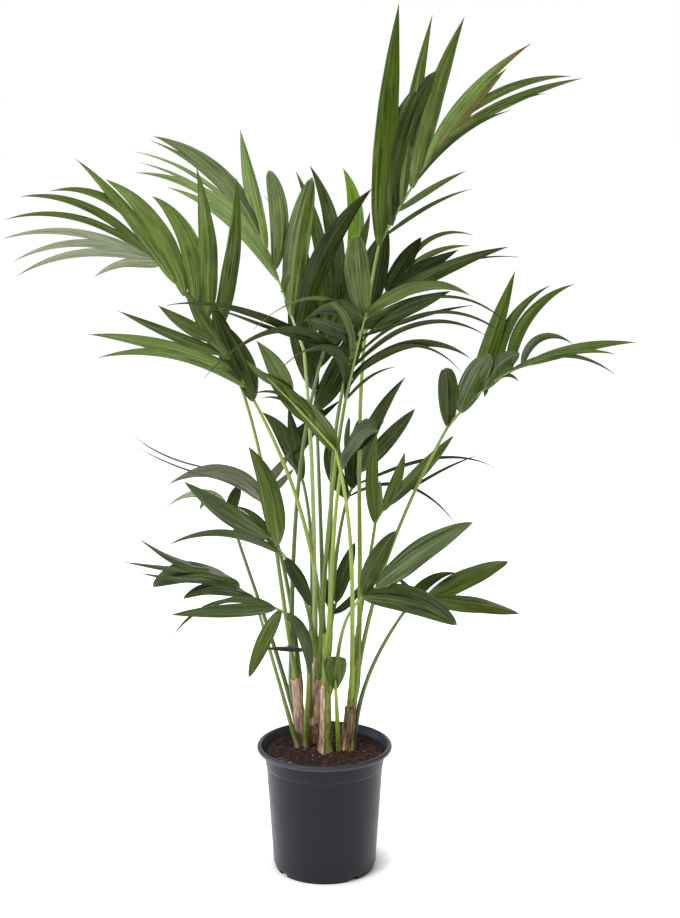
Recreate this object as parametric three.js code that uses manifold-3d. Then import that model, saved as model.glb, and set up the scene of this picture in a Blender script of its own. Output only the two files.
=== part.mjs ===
// A kentia palm in its round nursery pot. Millimetres, +Z up. The origin is the middle of
// the pot's flat underside, +X is the plant's right and +Y is its back.
import * as THREE from 'three';
import { mergeVertices } from 'three/addons/utils/BufferGeometryUtils.js';
import Module from 'manifold-3d';

const wasm = await Module();
wasm.setup();

// Pot: a tapered plastic shell with a flared rim, a collar below it and a notched foot.
const RIM_HEIGHT = 230;
const RIM_RADIUS = 120;
const RIM_INSIDE_RADIUS = 113;
const RIM_THICKNESS = 10;
const COLLAR_RADIUS = 108.5;
const COLLAR_FOOT_RADIUS = 104.8;
const COLLAR_BOTTOM = 194;
const WALL_TOP_RADIUS = 103.5;
const FOOT_RADIUS = 91;
const FOOT_HEIGHT = 12;
const UNDERSIDE_RADIUS = 87.5;
const WALL = 2.4;
const POT_SIDES = 36;
const RIM_ROUNDING = 2;
const NOTCH_COUNT = 4;
const NOTCH_WIDTH = 18;
const NOTCH_HEIGHT = 8;
const NOTCH_DEPTH = 7;
const FIRST_NOTCH_ANGLE = 35;

// Soil: fills the pot to a flat bed that falls off a little at the wall.
const SOIL_LEVEL = 212;
const SOIL_EDGE_DROP = 5;
const SOIL_SHOULDER_RADIUS = 92;

// Clearance between solids that touch.
const GAP = 0.3;

const POT_COLOUR = 0x2b2e33;
const SOIL_COLOUR = 0x3a2a20;
const STEM_COLOUR = 0x7d8a4a;
const PETIOLE_COLOUR = 0x8fa650;
const FROND_COLOUR = 0x47662f;
const POT_ROUGHNESS = 0.45;
const SOIL_ROUGHNESS = 0.95;
const STEM_ROUGHNESS = 0.6;
const LEAF_ROUGHNESS = 0.45;

const DEGREES = Math.PI / 180;
const UP = new THREE.Vector3(0, 0, 1);

// Stems: foot and top of each axis, with the radius at the foot, above the flare and on top.
const STEM_SIDES = 10;
const STEM_RINGS = 6;
const STEM_RING_CROWDING = 1.4;
const FLARE_HEIGHT = 35;
const STEMS = [
  { name: 'stem_left', foot: [-40, 36], top: [-53, 34, 352], flare: 12.6, low: 10, high: 7 },
  { name: 'stem_rear', foot: [-18, 52], top: [-9, 53, 410], flare: 14, low: 11, high: 7.5 },
  { name: 'stem_middle', foot: [2, 0], top: [4, 2, 432], flare: 14.5, low: 11.5, high: 7.5 },
  { name: 'stem_right', foot: [40, 12], top: [51, 13, 352], flare: 13, low: 10, high: 7 },
];

// Petioles: a rounded stalk from a stem to the foot of each frond's blade.
const PETIOLE_SIDES = 6;
const PETIOLE_RINGS = 6;
const PETIOLE_FOOT_RADIUS = 4.6;
const PETIOLE_TIP_RADIUS = 2.8;
const PETIOLE_FIRST_REACH = 0.36;
const PETIOLE_LAST_REACH = 0.32;

// Fronds: a rib with leaflets in a fan on each side. A leaflet is a folded blade.
const RIB_SIDES = 4;
const RIB_RINGS = 4;
const RIB_FOOT_RADIUS = 2.8;
const RIB_TIP_RADIUS = 1.5;
const LEAFLET_STEPS = 12;
const STRAIGHT_STRIDE = 4;
const DROOPING_STRIDE = 3;
const STRAIGHT_DROOP = 0.4;
const LEAFLET_ROOT_SINK = 1.5;
const LEAFLET_THICKNESS_RATIO = 1 / 70;
const LEAFLET_THINNEST = 3;
const LEAFLET_FOLD = 0.18;
const LEAFLET_TIP_THINNING = 0.6;
const DROOP_POWER = 1.4;
const OUTLINE_ROOT = 0.012;
const OUTLINE_SWELL = 0.6;
const SLENDER_POINT = 1;

// Each frond: its petiole's foot, and its rib from base to tip. rise says how upright the
// petiole leaves its foot, from 0, along the chord, to 1, and enter how far it turns into
// the rib's own direction at the base. lift raises the rib's middle, and roll turns the
// blade about the rib, in degrees. A side lists, from the base to the tip of the rib, the
// angle between leaflet and rib, length, width, droop under its weight, and bow, the degrees
// that the leaflet curves back towards the rib. A side has one leaflet for each length, and
// shorter lists are spread over them. from and to are the part of the rib that carries them,
// and point says how slender the tips are where they are not long points.
// A petiole that stands in the soil starts a little below it and is cut flat at its level.
const FRONDS = [
  {
    name: 'upper_left', foot: [-52, 30, 345],
    base: [-140, -10, 870], tip: [-290, -70, 1105],
    rise: 0, enter: 0.5, lift: 45, roll: 70,
    left: {
      angle: [33, 34, 27, 24, 18, 16],
      length: [70, 120, 250, 250, 260, 260],
      width: [14, 14, 14, 14, 14, 12], droop: [0.6, 0.9, 0.9, 0.8, 0.7, 0.5],
      bow: [10, 8, 8, -2, 2, -25], from: 0.88, to: 1,
    },
    right: {
      angle: [47, 36, 20, 9, 7, -1, -7],
      length: [285, 265, 215, 240, 260, 255, 260],
      width: [34, 42, 44, 38, 26, 20, 16], droop: [0, 0, 0.2, 0.3, 0.3, 0.5, 0.5],
      bow: [22, 25, 69, 39, 7, 56, 28], from: 0.3, to: 0.93,
    },
  },
  {
    name: 'left_middle', foot: [-4, 62, 370],
    base: [-120, -30, 855], tip: [-190, -90, 980],
    rise: 1, enter: 1, lift: 10, roll: 95,
    left: {
      angle: [38, 31, 24, 16],
      length: [305, 295, 225, 130],
      width: [18, 24, 18, 24], droop: [0.15, 0.3, 0.25, 0.2],
      bow: [-38, 1, 19, 23], from: 0.15, to: 0.85,
    },
    right: {
      angle: [9, 11, 2],
      length: [150, 150, 155],
      width: [40, 44, 30], droop: [0.05],
      bow: [24, -10, -8], from: 0, to: 0.55,
    },
  },
  {
    name: 'back_left', foot: [-17, 51, 395],
    base: [-35, 60, 925], tip: [-110, 130, 1115],
    rise: 1, enter: 0.2, lift: 10, roll: 50,
    left: {
      angle: [24, 28, 26, 25, 20, 19],
      length: [275, 335, 320, 325, 300, 290],
      width: [20, 20, 10, 10, 14, 34], droop: [0.2],
      bow: [-32, -50, -33, -37, -30, -37], from: 0.6, to: 1,
    },
    right: {
      angle: [44, 28, 26, 18, 10],
      length: [300, 250, 135, 185, 225],
      width: [40, 44, 28, 34, 28], droop: [0.05],
      bow: [-39, -15, 45, 34, -7], from: 0.1, to: 0.9,
      point: [0.9, 0.6, 0.9, 0.5, 1],
    },
  },
  {
    name: 'back_middle', foot: [-60, 40, 335],
    base: [-5, 110, 905], tip: [50, 200, 1070],
    rise: 0.9, enter: 1, lift: 8, roll: 0,
    left: {
      angle: [36, 29, 28, 27, 23],
      length: [390, 370, 335, 175, 230],
      width: [10, 28, 34, 34, 32], droop: [0.05],
      bow: [-26, -19, -27, 15, -34], from: 0.05, to: 0.95,
    },
    right: {
      angle: [19, 13, 1],
      length: [185, 180, 160],
      width: [36, 34, 26], droop: [0.05],
      bow: [15], from: 0.1, to: 0.7,
    },
  },
  {
    name: 'top_right', foot: [59, 10, 345],
    base: [95, 60, 1110], tip: [235, 150, 1325],
    rise: 0, enter: 0.4, lift: 18, roll: -70,
    left: {
      angle: [24, 14, 24, 17, -8, -8],
      length: [420, 275, 315, 285, 270, 155],
      width: [42, 52, 26, 32, 22, 14], droop: [0],
      bow: [4, 47, 15, 24, 32, 5], from: 0, to: 0.9,
      point: [1, 0.8, 1, 1, 1, 1],
    },
    right: {
      angle: [23, 20, 18, 23, 27, 25],
      length: [190, 150, 240, 270, 305, 250],
      width: [8, 12, 10, 12, 18, 16], droop: [0.4, 0.4, 0.1, 0.1, 0.1, 0.2],
      bow: [0, 11, -35, -34, -18, -26], from: 0.05, to: 0.95,
    },
  },
  {
    name: 'centre', foot: [-7, 48, 395],
    base: [35, -60, 850], tip: [70, -130, 1015],
    rise: 0.5, enter: 0.7, lift: 8, roll: 0,
    left: {
      angle: [39, 54, 54, 48, 57, 57, 61, 62, 56],
      length: [105, 245, 230, 255, 310, 320, 200, 160, 195],
      width: [7, 8, 20, 11, 8, 7, 10, 38, 28], droop: [0.5, 1.1, 1, 1, 1.1, 1.1, 0.5, 0.2, 0.8],
      bow: [-21, -75, -28, -28, -44, -60, 22, 11, -35], from: 0.05, to: 0.95,
    },
    right: {
      angle: [38, 35, 56, 51, 52, 47, 48, 19],
      length: [245, 380, 365, 430, 340, 150, 160, 170],
      width: [18, 12, 14, 14, 8, 26, 30, 42], droop: [1, 1, 1.1, 0.7, 0.7, 0.8, 1.1, 0.05],
      bow: [-75, -75, -48, 17, 52, 46, -20, 12], from: 0.05, to: 0.95,
      point: [1, 1, 1, 1, 1, 1, 0.8, 0.5],
    },
  },
  {
    name: 'front_left', foot: [49, 6, 345],
    base: [20, -120, 785], tip: [-90, -175, 915],
    rise: 1, enter: 0.3, lift: 6, roll: -50,
    left: {
      angle: [27, 19, 19],
      length: [75, 70, 125],
      width: [34], droop: [0.2],
      bow: [75, 75, 20], from: 0.1, to: 0.7,
    },
    right: {
      angle: [15, 30, 2],
      length: [95, 70, 65],
      width: [8, 6, 14], droop: [0.3, 0.3, 0.1],
      bow: [-56, -62, 18], from: 0.4, to: 0.9,
    },
  },
  {
    name: 'far_right', foot: [54, 20, 300],
    base: [215, 20, 800], tip: [350, 40, 905],
    rise: 0.7, enter: 0.5, lift: 30, roll: -60,
    left: {
      angle: [42, 16, 29, 9, 29, 28, 23],
      length: [105, 115, 240, 90, 205, 210, 130],
      width: [36, 46, 32, 36, 20, 22, 15], droop: [0, 0, 0, 0.1, 0.1, 0.1, 0.9],
      bow: [-7, 21, 2, 50, 63, 66, 75], from: 0, to: 0.95,
      point: [0.4, 0.5, 1, 0.6, 1, 1, 1],
    },
    right: {
      angle: [150, 20, 10, 10, 1],
      length: [20, 45, 205, 180, 200],
      width: [8, 8, 10, 12, 20], droop: [0.9, 0.9, 0.9, 0.3, 0.3],
      bow: [5, -75, -27, -23, -5], from: 0.5, to: 1,
    },
  },
  {
    name: 'back_right', foot: [2, 54, 380],
    base: [40, 110, 650], tip: [75, 165, 710],
    rise: 0, enter: 0.5, lift: 6, roll: -50,
    left: {
      angle: [43, 20, 1, -11],
      length: [115, 110, 245, 185],
      width: [34, 34, 28, 30], droop: [0.05],
      bow: [44, 10, 26, -2], from: 0.05, to: 0.7,
      point: [0.8, 0.8, 1, 0.8],
    },
    right: {
      angle: [50, 29],
      length: [275, 360],
      width: [7], droop: [1.2, 0.9],
      bow: [-37, 14], from: 0.05, to: 0.3,
    },
  },
  {
    name: 'right_middle', foot: [53, 24, 345],
    base: [90, 55, 620], tip: [120, 75, 655],
    rise: 0.8, enter: 0, lift: 8, roll: -60,
    left: {
      angle: [28, 31, 16, -1],
      length: [160, 65, 115, 185],
      width: [24, 16, 22, 24], droop: [0],
      bow: [21, 15, -15, -2], from: 0, to: 0.7,
      point: [0.8, 0.8, 0.9, 0.8],
    },
    right: {
      angle: [6],
      length: [205],
      width: [6], droop: [0.3],
      bow: [0], from: 0.9, to: 0.9,
    },
  },
  {
    name: 'right_low', foot: [11, -4, 330],
    base: [65, -80, 520], tip: [135, -110, 565],
    rise: 0, enter: 0.8, lift: 6, roll: -65,
    left: {
      angle: [35, 7],
      length: [130, 215],
      width: [38, 46], droop: [0.05],
      bow: [34, 20], from: 0.05, to: 0.35,
      point: [0.8],
    },
    right: {
      angle: [32, 43],
      length: [195, 60],
      width: [46, 8], droop: [0.5, 0.3],
      bow: [-17, 46], from: 0.05, to: 0.9,
      point: [0.7, 1],
    },
  },
  {
    name: 'right_low_back', foot: [53, 26, 205],
    base: [140, 20, 465], tip: [185, 50, 480],
    rise: 1, enter: 0.5, lift: 6, roll: -40,
    left: {
      angle: [10, 11],
      length: [140, 220],
      width: [22, 40], droop: [0.4, 0.15],
      bow: [38, 2], from: 0.1, to: 0.9,
      point: [0.9, 0.7],
    },
    right: {
      angle: [15],
      length: [45, 195],
      width: [14, 38], droop: [0.4],
      bow: [10, 16], from: 0.1, to: 0.9,
      point: [1, 0.8],
    },
  },
  {
    name: 'left_front', foot: [-20, 44, 400],
    base: [-65, -80, 590], tip: [-110, -95, 650],
    rise: 0.6, enter: 0.5, lift: 6, roll: 75,
    left: {
      angle: [29, 7, 4, 11],
      length: [225, 105, 105, 185],
      width: [14, 12, 12, 34], droop: [0.7, 0.2, 0.2, 0.2],
      bow: [-17, -6, -45, 21], from: 0.1, to: 0.6,
      point: [1, 1, 1, 0.9],
    },
    right: {
      angle: [150, 24],
      length: [105, 180],
      width: [26, 42], droop: [3, 0],
      bow: [75, 40], from: 0, to: 0.35,
      point: [0.8, 0.9],
    },
  },
  {
    name: 'left_low', foot: [-46, 20, 205],
    base: [-120, -10, 495], tip: [-205, -60, 565],
    rise: 0, enter: 0, lift: 10, roll: 30,
    left: {
      angle: [17, 9, 21, 15],
      length: [175, 190, 205, 185],
      width: [32, 56, 12, 14], droop: [0.8, 0.9, 0.3, 0.2],
      bow: [6, -6, 46, 30], from: 0.05, to: 0.95,
      point: [0.7, 0.7, 1, 1],
    },
    right: {
      angle: [0, 6],
      length: [130, 150],
      width: [20, 28], droop: [0.4, 0.1],
      bow: [5, -60], from: 0.4, to: 0.9,
      point: [0.9],
    },
  },
  {
    name: 'left_low_front', foot: [-31, 20, 205],
    base: [-65, -90, 495], tip: [-125, -100, 520],
    rise: 0, enter: 0.7, lift: 8, roll: 55,
    left: {
      angle: [143, 75, 21],
      length: [120, 130, 185],
      width: [24, 26, 24], droop: [1.2, 1.2, 0.3],
      bow: [75, 13, 16], from: 0, to: 0.3,
      point: [0.8, 0.7, 0.9],
    },
    right: {
      angle: [-15, -18],
      length: [120, 160],
      width: [14, 8], droop: [0.3, 0.7],
      bow: [34, 42], from: 0.3, to: 0.9,
    },
  },
  {
    name: 'left_low_back', foot: [-43, 60, 205],
    base: [-170, 150, 605], tip: [-205, 210, 640],
    rise: 0.3, enter: 0, lift: 5, roll: 30,
    left: {
      angle: [34, 92],
      length: [165, 45],
      width: [22, 14], droop: [0.7, 0.6],
      bow: [-75], from: 0.3, to: 0.9,
    },
    right: {
      angle: [38],
      length: [75],
      width: [24], droop: [0.1],
      bow: [-13], from: 0.1, to: 0.9,
      point: [0.7],
    },
  },
  {
    name: 'small_front', foot: [26, 6, 205],
    base: [20, -30, 340], tip: [20, -40, 360],
    rise: 0, enter: 0, lift: 0, roll: 0,
    left: {
      angle: [-6],
      length: [80],
      width: [30], droop: [0],
      bow: [0], from: 0.1, to: 0.9,
      point: [0.3],
    },
    right: {
      angle: [-6],
      length: [75],
      width: [28], droop: [0],
      bow: [0], from: 0.3, to: 0.9,
      point: [0.3],
    },
  },
  {
    name: 'centre_low', foot: [7, -4, 420],
    base: [30, -40, 740], tip: [50, -75, 785],
    rise: 0.1, enter: 0.4, lift: 8, roll: 0,
    left: {
      angle: [14, 4],
      length: [110, 120],
      width: [38, 12], droop: [0.5, 0.3],
      bow: [-56, 75], from: 0.05, to: 0.9,
      point: [0.6, 1],
    },
    right: {
      angle: [21, 21, 19],
      length: [125, 115, 115],
      width: [22, 26, 22], droop: [0.1],
      bow: [12, 0, 2], from: 0.05, to: 0.9,
      point: [1, 0.7, 0.7],
    },
  },
  {
    name: 'back_low_left', foot: [-28, 63, 270],
    base: [-40, 170, 670], tip: [-85, 235, 735],
    rise: 0.5, enter: 0.5, lift: 6, roll: 40,
    left: {
      angle: [1],
      length: [145],
      width: [32], droop: [0.1],
      bow: [-35], from: 0.3, to: 0.9,
    },
    right: {
      angle: [15, 54, 83],
      length: [155, 135, 140],
      width: [26, 24, 22], droop: [0.1],
      bow: [-1, 15, 15], from: 0.05, to: 0.9,
    },
  },
  {
    name: 'back_low', foot: [2, 10, 260],
    base: [15, 60, 450], tip: [30, 100, 495],
    rise: 0.5, enter: 0.5, lift: 4, roll: 0,
    left: {
      angle: [25, -2],
      length: [110, 125],
      width: [16, 30], droop: [0.05],
      bow: [15, 9], from: 0.05, to: 0.4,
      point: [1, 0.8],
    },
    right: {
      angle: [29],
      length: [85],
      width: [16], droop: [0.05],
      bow: [56], from: 0.05, to: 0.9,
    },
  },
  {
    name: 'back_high_right', foot: [10, 14, 420],
    base: [80, 90, 990], tip: [140, 120, 1055],
    rise: 0.8, enter: 0.7, lift: 6, roll: -50,
    left: {
      angle: [26, 10, 0],
      length: [170, 120, 170],
      width: [32, 32, 10], droop: [0.05, 0.1, 0.6],
      bow: [-7, 4, 55], from: 0, to: 1,
      point: [0.8, 0.8, 1],
    },
    right: {
      angle: [22, 20, 15, 11],
      length: [270, 265, 140, 145],
      width: [28, 6, 28, 12], droop: [0.3, 0.6, 0.2, 0.4],
      bow: [-3, 1, 8, -26], from: 0.05, to: 0.9,
    },
  },
  {
    name: 'back_left_low', foot: [-44, 44, 330],
    base: [-115, 110, 650], tip: [-180, 170, 695],
    rise: 0.5, enter: 0.5, lift: 6, roll: 30,
    left: {
      angle: [27, 17, 9],
      length: [205, 240, 240],
      width: [38, 4, 4], droop: [0.5, 0.3, 0.3],
      bow: [-75, 42, 55], from: 0, to: 0.9,
    },
    right: {
      angle: [77, 70],
      length: [95, 120],
      width: [16, 20], droop: [0.1],
      bow: [19, 20], from: 0, to: 0.15,
    },
  },
  {
    name: 'back_upper', foot: [-2, 62, 400],
    base: [-15, 170, 785], tip: [-25, 290, 935],
    rise: 0.5, enter: 1, lift: 10, roll: 0,
    left: {
      angle: [6, 1],
      length: [270, 280],
      width: [44, 40], droop: [0.2],
      bow: [15], from: 0.3, to: 0.95,
    },
    right: {
      angle: [25, 21, 11],
      length: [265, 285, 300],
      width: [46, 46, 40], droop: [0.2],
      bow: [15], from: 0.1, to: 0.95,
    },
  },
  {
    name: 'low_side', foot: [-27, 40, 290],
    base: [-35, -25, 410], tip: [-45, -35, 415],
    rise: 0.5, enter: 0.5, lift: 0, roll: 20,
    left: {
      angle: [6],
      length: [110],
      width: [16], droop: [0.1],
      bow: [0], from: 0, to: 0.9,
    },
    right: {
      angle: [18],
      length: [35],
      width: [8], droop: [0.1],
      bow: [0], from: 0.5, to: 0.9,
    },
  },
];

const vector = (values) => new THREE.Vector3(...values);

// Value at share 0..1 of the way along evenly spaced values.
function spread(values, share) {
  if (values.length === 1) return values[0];
  const place = share * (values.length - 1);
  const before = Math.min(Math.floor(place), values.length - 2);
  return THREE.MathUtils.lerp(values[before], values[before + 1], place - before);
}

// Closed surface through rings of points, each ring the same way round seen from the end.
function loft(rings) {
  const sides = rings[0].length;
  const positions = rings.flat().flatMap((point) => point.toArray());
  const faces = [];
  for (let ring = 0; ring < rings.length - 1; ring += 1) {
    for (let side = 0; side < sides; side += 1) {
      const here = ring * sides + side;
      const beside = ring * sides + ((side + 1) % sides);
      faces.push(here, beside, beside + sides, here, beside + sides, here + sides);
    }
  }
  const last = (rings.length - 1) * sides;
  for (let side = 1; side < sides - 1; side += 1) {
    faces.push(0, side + 1, side, last, last + side, last + side + 1);
  }
  const geometry = new THREE.BufferGeometry();
  geometry.setAttribute('position', new THREE.Float32BufferAttribute(positions, 3));
  geometry.setIndex(faces);
  return geometry;
}

function solid(geometry) {
  const bare = geometry.clone();
  bare.deleteAttribute('normal');
  bare.deleteAttribute('uv');
  const merged = mergeVertices(bare, 1e-4);
  const corners = merged.index.array;
  const faces = [];
  for (let start = 0; start < corners.length; start += 3) {
    const [first, second, third] = corners.slice(start, start + 3);
    if (first !== second && second !== third && third !== first) faces.push(first, second, third);
  }
  const vertProperties = new Float32Array(merged.attributes.position.array);
  return new wasm.Manifold(
    new wasm.Mesh({ numProp: 3, vertProperties, triVerts: new Uint32Array(faces) }),
  );
}

function geometryOf(body) {
  const mesh = body.getMesh();
  const geometry = new THREE.BufferGeometry();
  geometry.setAttribute('position', new THREE.BufferAttribute(mesh.vertProperties, 3));
  geometry.setIndex(new THREE.BufferAttribute(mesh.triVerts, 1));
  geometry.computeVertexNormals();
  return geometry;
}

// Solid turned about Z from a profile of [radius, height] points.
function turned(profile) {
  const points = profile.map(([radius, height]) => new THREE.Vector2(radius, height));
  return solid(new THREE.LatheGeometry(points, POT_SIDES).rotateX(Math.PI / 2));
}

// Radius outside of the collar, which widens from its foot up to the rim.
function collarRadius(height) {
  const share = (height - COLLAR_BOTTOM) / (RIM_HEIGHT - RIM_THICKNESS - COLLAR_BOTTOM);
  return THREE.MathUtils.lerp(COLLAR_FOOT_RADIUS, COLLAR_RADIUS, share);
}

function insideProfile(clearance) {
  const inner = WALL + clearance;
  const collarFoot = COLLAR_BOTTOM + WALL;
  return [
    [0, WALL + clearance],
    [UNDERSIDE_RADIUS - inner, WALL + clearance],
    [FOOT_RADIUS - inner, FOOT_HEIGHT],
    [WALL_TOP_RADIUS - inner, COLLAR_BOTTOM - WALL],
    [collarRadius(collarFoot) - inner, collarFoot],
  ];
}

function makePot() {
  const collarTop = RIM_HEIGHT - RIM_THICKNESS;
  const outside = [
    [0, 0],
    [UNDERSIDE_RADIUS, 0],
    [FOOT_RADIUS, FOOT_HEIGHT],
    [WALL_TOP_RADIUS, COLLAR_BOTTOM - WALL],
    [COLLAR_FOOT_RADIUS, COLLAR_BOTTOM],
    [COLLAR_RADIUS, collarTop],
    [RIM_RADIUS - RIM_ROUNDING, collarTop],
    [RIM_RADIUS, collarTop + RIM_ROUNDING],
    [RIM_RADIUS, RIM_HEIGHT - RIM_ROUNDING],
    [RIM_RADIUS - RIM_ROUNDING, RIM_HEIGHT],
    [RIM_INSIDE_RADIUS + RIM_ROUNDING, RIM_HEIGHT],
    [RIM_INSIDE_RADIUS, RIM_HEIGHT - RIM_ROUNDING],
    [collarRadius(collarTop - WALL) - WALL, collarTop - WALL],
  ];
  let pot = turned([...outside, ...insideProfile(0).reverse()]);
  for (let count = 0; count < NOTCH_COUNT; count += 1) {
    const angle = (FIRST_NOTCH_ANGLE + (count * 360) / NOTCH_COUNT) * DEGREES;
    const notch = new THREE.BoxGeometry(2 * NOTCH_DEPTH, NOTCH_WIDTH, 2 * NOTCH_HEIGHT);
    notch.translate(UNDERSIDE_RADIUS, 0, 0).rotateZ(angle);
    pot = pot.subtract(solid(notch));
  }
  return pot;
}

function makeSoil() {
  const wall = insideProfile(GAP);
  const edgeHeight = SOIL_LEVEL - SOIL_EDGE_DROP;
  const edge = [collarRadius(edgeHeight) - WALL - GAP, edgeHeight];
  return turned([...wall, edge, [SOIL_SHOULDER_RADIUS, SOIL_LEVEL], [0, SOIL_LEVEL]]);
}

// Ring of points about a centre in the plane of two unit vectors.
function ring(centre, across, normal, radius, sides) {
  return Array.from({ length: sides }, (_, side) => {
    const turn = (side * 2 * Math.PI) / sides;
    return centre.clone()
      .addScaledVector(across, radius * Math.cos(turn))
      .addScaledVector(normal, radius * Math.sin(turn));
  });
}

// A stem is a leaning taper with a flare at its foot, cut flat on the soil.
function makeStem({ foot, top, flare, low, high }, grow = 0) {
  const start = vector([...foot, SOIL_LEVEL + GAP]);
  const end = vector(top);
  const axisX = new THREE.Vector3(1, 0, 0);
  const axisY = new THREE.Vector3(0, 1, 0);
  const length = end.z - start.z;
  const heights = [-grow];
  for (let count = 1; count < STEM_RINGS; count += 1) {
    heights.push(length * (count / (STEM_RINGS - 1)) ** STEM_RING_CROWDING);
  }
  heights[heights.length - 1] += grow;
  const rings = heights.map((height) => {
    const share = height / length;
    const taper = THREE.MathUtils.lerp(low, high, share);
    const spreading = (flare - low) * Math.max(0, 1 - height / FLARE_HEIGHT) ** 2;
    const centre = start.clone().lerp(end, share);
    return ring(centre, axisX, axisY, taper + spreading + grow, STEM_SIDES);
  });
  return solid(loft(rings));
}

// Right-handed frame of a frond's blade at a share of its rib: along, across and normal.
function bladeFrame(frond, rib, share) {
  const along = rib.getTangent(share);
  const heading = vector(frond.tip).sub(vector(frond.base)).setZ(0).normalize();
  const level = new THREE.Vector3().crossVectors(heading, UP);
  level.addScaledVector(along, -level.dot(along)).normalize();
  const upward = new THREE.Vector3().crossVectors(level, along);
  const roll = frond.roll * DEGREES;
  const across = level.multiplyScalar(Math.cos(roll)).addScaledVector(upward, Math.sin(roll));
  return { along, across, normal: new THREE.Vector3().crossVectors(across, along) };
}

function ribOf(frond) {
  const base = vector(frond.base);
  const tip = vector(frond.tip);
  const middle = base.clone().lerp(tip, 0.5).addScaledVector(UP, frond.lift);
  return new THREE.QuadraticBezierCurve3(base, middle, tip);
}

function petioleOf(frond, rib) {
  const foot = vector(frond.foot);
  const base = vector(frond.base);
  const chord = base.clone().sub(foot);
  const length = chord.length();
  chord.normalize();
  const leave = chord.clone().lerp(UP, frond.rise).normalize();
  leave.multiplyScalar(length * PETIOLE_FIRST_REACH);
  const ribStart = rib.v1.clone().sub(base).normalize();
  const enter = chord.lerp(ribStart, frond.enter).normalize();
  enter.multiplyScalar(length * PETIOLE_LAST_REACH);
  return new THREE.CubicBezierCurve3(foot, foot.clone().add(leave), base.clone().sub(enter), base);
}

// A tapering tube along a curve between two shares of it.
function limb(frond, curve, from, to, radii, rings, sides) {
  const heading = vector(frond.tip).sub(vector(frond.base)).setZ(0).normalize();
  const level = new THREE.Vector3().crossVectors(heading, UP);
  const sections = [];
  for (let count = 0; count <= rings; count += 1) {
    const step = count / rings;
    const share = THREE.MathUtils.lerp(from, to, step);
    const along = curve.getTangent(share);
    const across = level.clone().addScaledVector(along, -level.dot(along)).normalize();
    const normal = new THREE.Vector3().crossVectors(along, across);
    const radius = THREE.MathUtils.lerp(radii[0], radii[1], step);
    sections.push(ring(curve.getPoint(share), across, normal, radius, sides));
  }
  return solid(loft(sections));
}

// Half the width of a leaflet at a share of its length, as a share of its full width: it
// widens from a narrow root and runs out to a tip that is blunter where point is lower.
function outline(share, point) {
  const swell = (place) => (place + OUTLINE_ROOT) ** OUTLINE_SWELL * (1 - place) ** point;
  const fullest = (OUTLINE_SWELL - OUTLINE_ROOT * point) / (OUTLINE_SWELL + point);
  return (0.5 * swell(share)) / swell(fullest);
}

// Middle line of one leaflet, with the direction across it at each step.
function leafletLine(frond, rib, side, sign, index) {
  const count = side.length.length;
  const place = count > 1 ? index / (count - 1) : 0;
  const share = THREE.MathUtils.lerp(side.from, side.to, place);
  const { along, across, normal } = bladeFrame(frond, rib, share);
  const outward = across.clone().multiplyScalar(sign);
  const angle = spread(side.angle, place) * DEGREES;
  const bow = spread(side.bow, place) * DEGREES;
  const wide = along.clone().multiplyScalar(Math.sin(angle))
    .addScaledVector(outward, -Math.cos(angle));
  const headingAt = (far) => {
    const turn = angle + bow * (0.5 - far);
    return along.clone().multiplyScalar(Math.cos(turn)).addScaledVector(outward, Math.sin(turn));
  };
  const length = side.length[index];
  const droop = spread(side.droop, place);
  const start = headingAt(0);
  const point = rib.getPoint(share).addScaledVector(start, -LEAFLET_ROOT_SINK);
  const line = [{ point: point.clone(), heading: start, wide }];
  for (let step = 1; step <= LEAFLET_STEPS; step += 1) {
    const far = (step - 0.5) / LEAFLET_STEPS;
    const onward = headingAt(far).addScaledVector(UP, -droop * far ** DROOP_POWER).normalize();
    point.addScaledVector(onward, length / LEAFLET_STEPS);
    const flat = wide.clone().addScaledVector(onward, -wide.dot(onward)).normalize();
    line.push({ point: point.clone(), heading: onward, wide: flat });
  }
  const stride = droop > STRAIGHT_DROOP ? DROOPING_STRIDE : STRAIGHT_STRIDE;
  const width = spread(side.width, place);
  const pointed = side.point ? spread(side.point, place) : SLENDER_POINT;
  return { line, length, width, pointed, normal, stride };
}

// A leaflet's solid: a roof-shaped blade that narrows to a point.
function makeLeaflet({ line, length, width, pointed, normal, stride }, grow = 0) {
  const thickness = Math.max(LEAFLET_THINNEST, length * LEAFLET_THICKNESS_RATIO);
  const sections = [];
  for (let step = 0; step <= LEAFLET_STEPS; step += stride) {
    const { point, heading, wide } = line[step];
    const share = step / LEAFLET_STEPS;
    if (share === 1) {
      sections.push([point, point, point]);
      break;
    }
    const half = width * outline(share, pointed) + grow;
    const high = new THREE.Vector3().crossVectors(wide, heading);
    if (high.dot(normal) < 0) high.negate();
    const rise = thickness * (1 - LEAFLET_TIP_THINNING * share) + half * LEAFLET_FOLD;
    const left = point.clone().addScaledVector(wide, -half).addScaledVector(high, -grow);
    const right = point.clone().addScaledVector(wide, half).addScaledVector(high, -grow);
    const ridge = point.clone().addScaledVector(high, rise + grow);
    const turn = new THREE.Vector3().crossVectors(high, wide).dot(heading);
    sections.push(turn > 0 ? [left, ridge, right] : [right, ridge, left]);
  }
  return solid(loft(sections));
}

function makeFrond(frond) {
  const rib = ribOf(frond);
  const start = GAP / rib.getLength();
  const radii = [RIB_FOOT_RADIUS, RIB_TIP_RADIUS];
  let blade = limb(frond, rib, start, 1, radii, RIB_RINGS, RIB_SIDES);
  [[frond.left, -1], [frond.right, 1]].forEach(([side, sign]) => {
    side.length.forEach((_, index) => {
      blade = blade.add(makeLeaflet(leafletLine(frond, rib, side, sign, index)));
    });
  });
  return blade;
}

// The main body of a fused solid, with sealed hollows filled and loose scraps dropped.
function mainBody(body) {
  return body.decompose().reduce((main, piece) => (piece.volume() > main.volume() ? piece : main));
}

const group = new THREE.Group();

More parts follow.
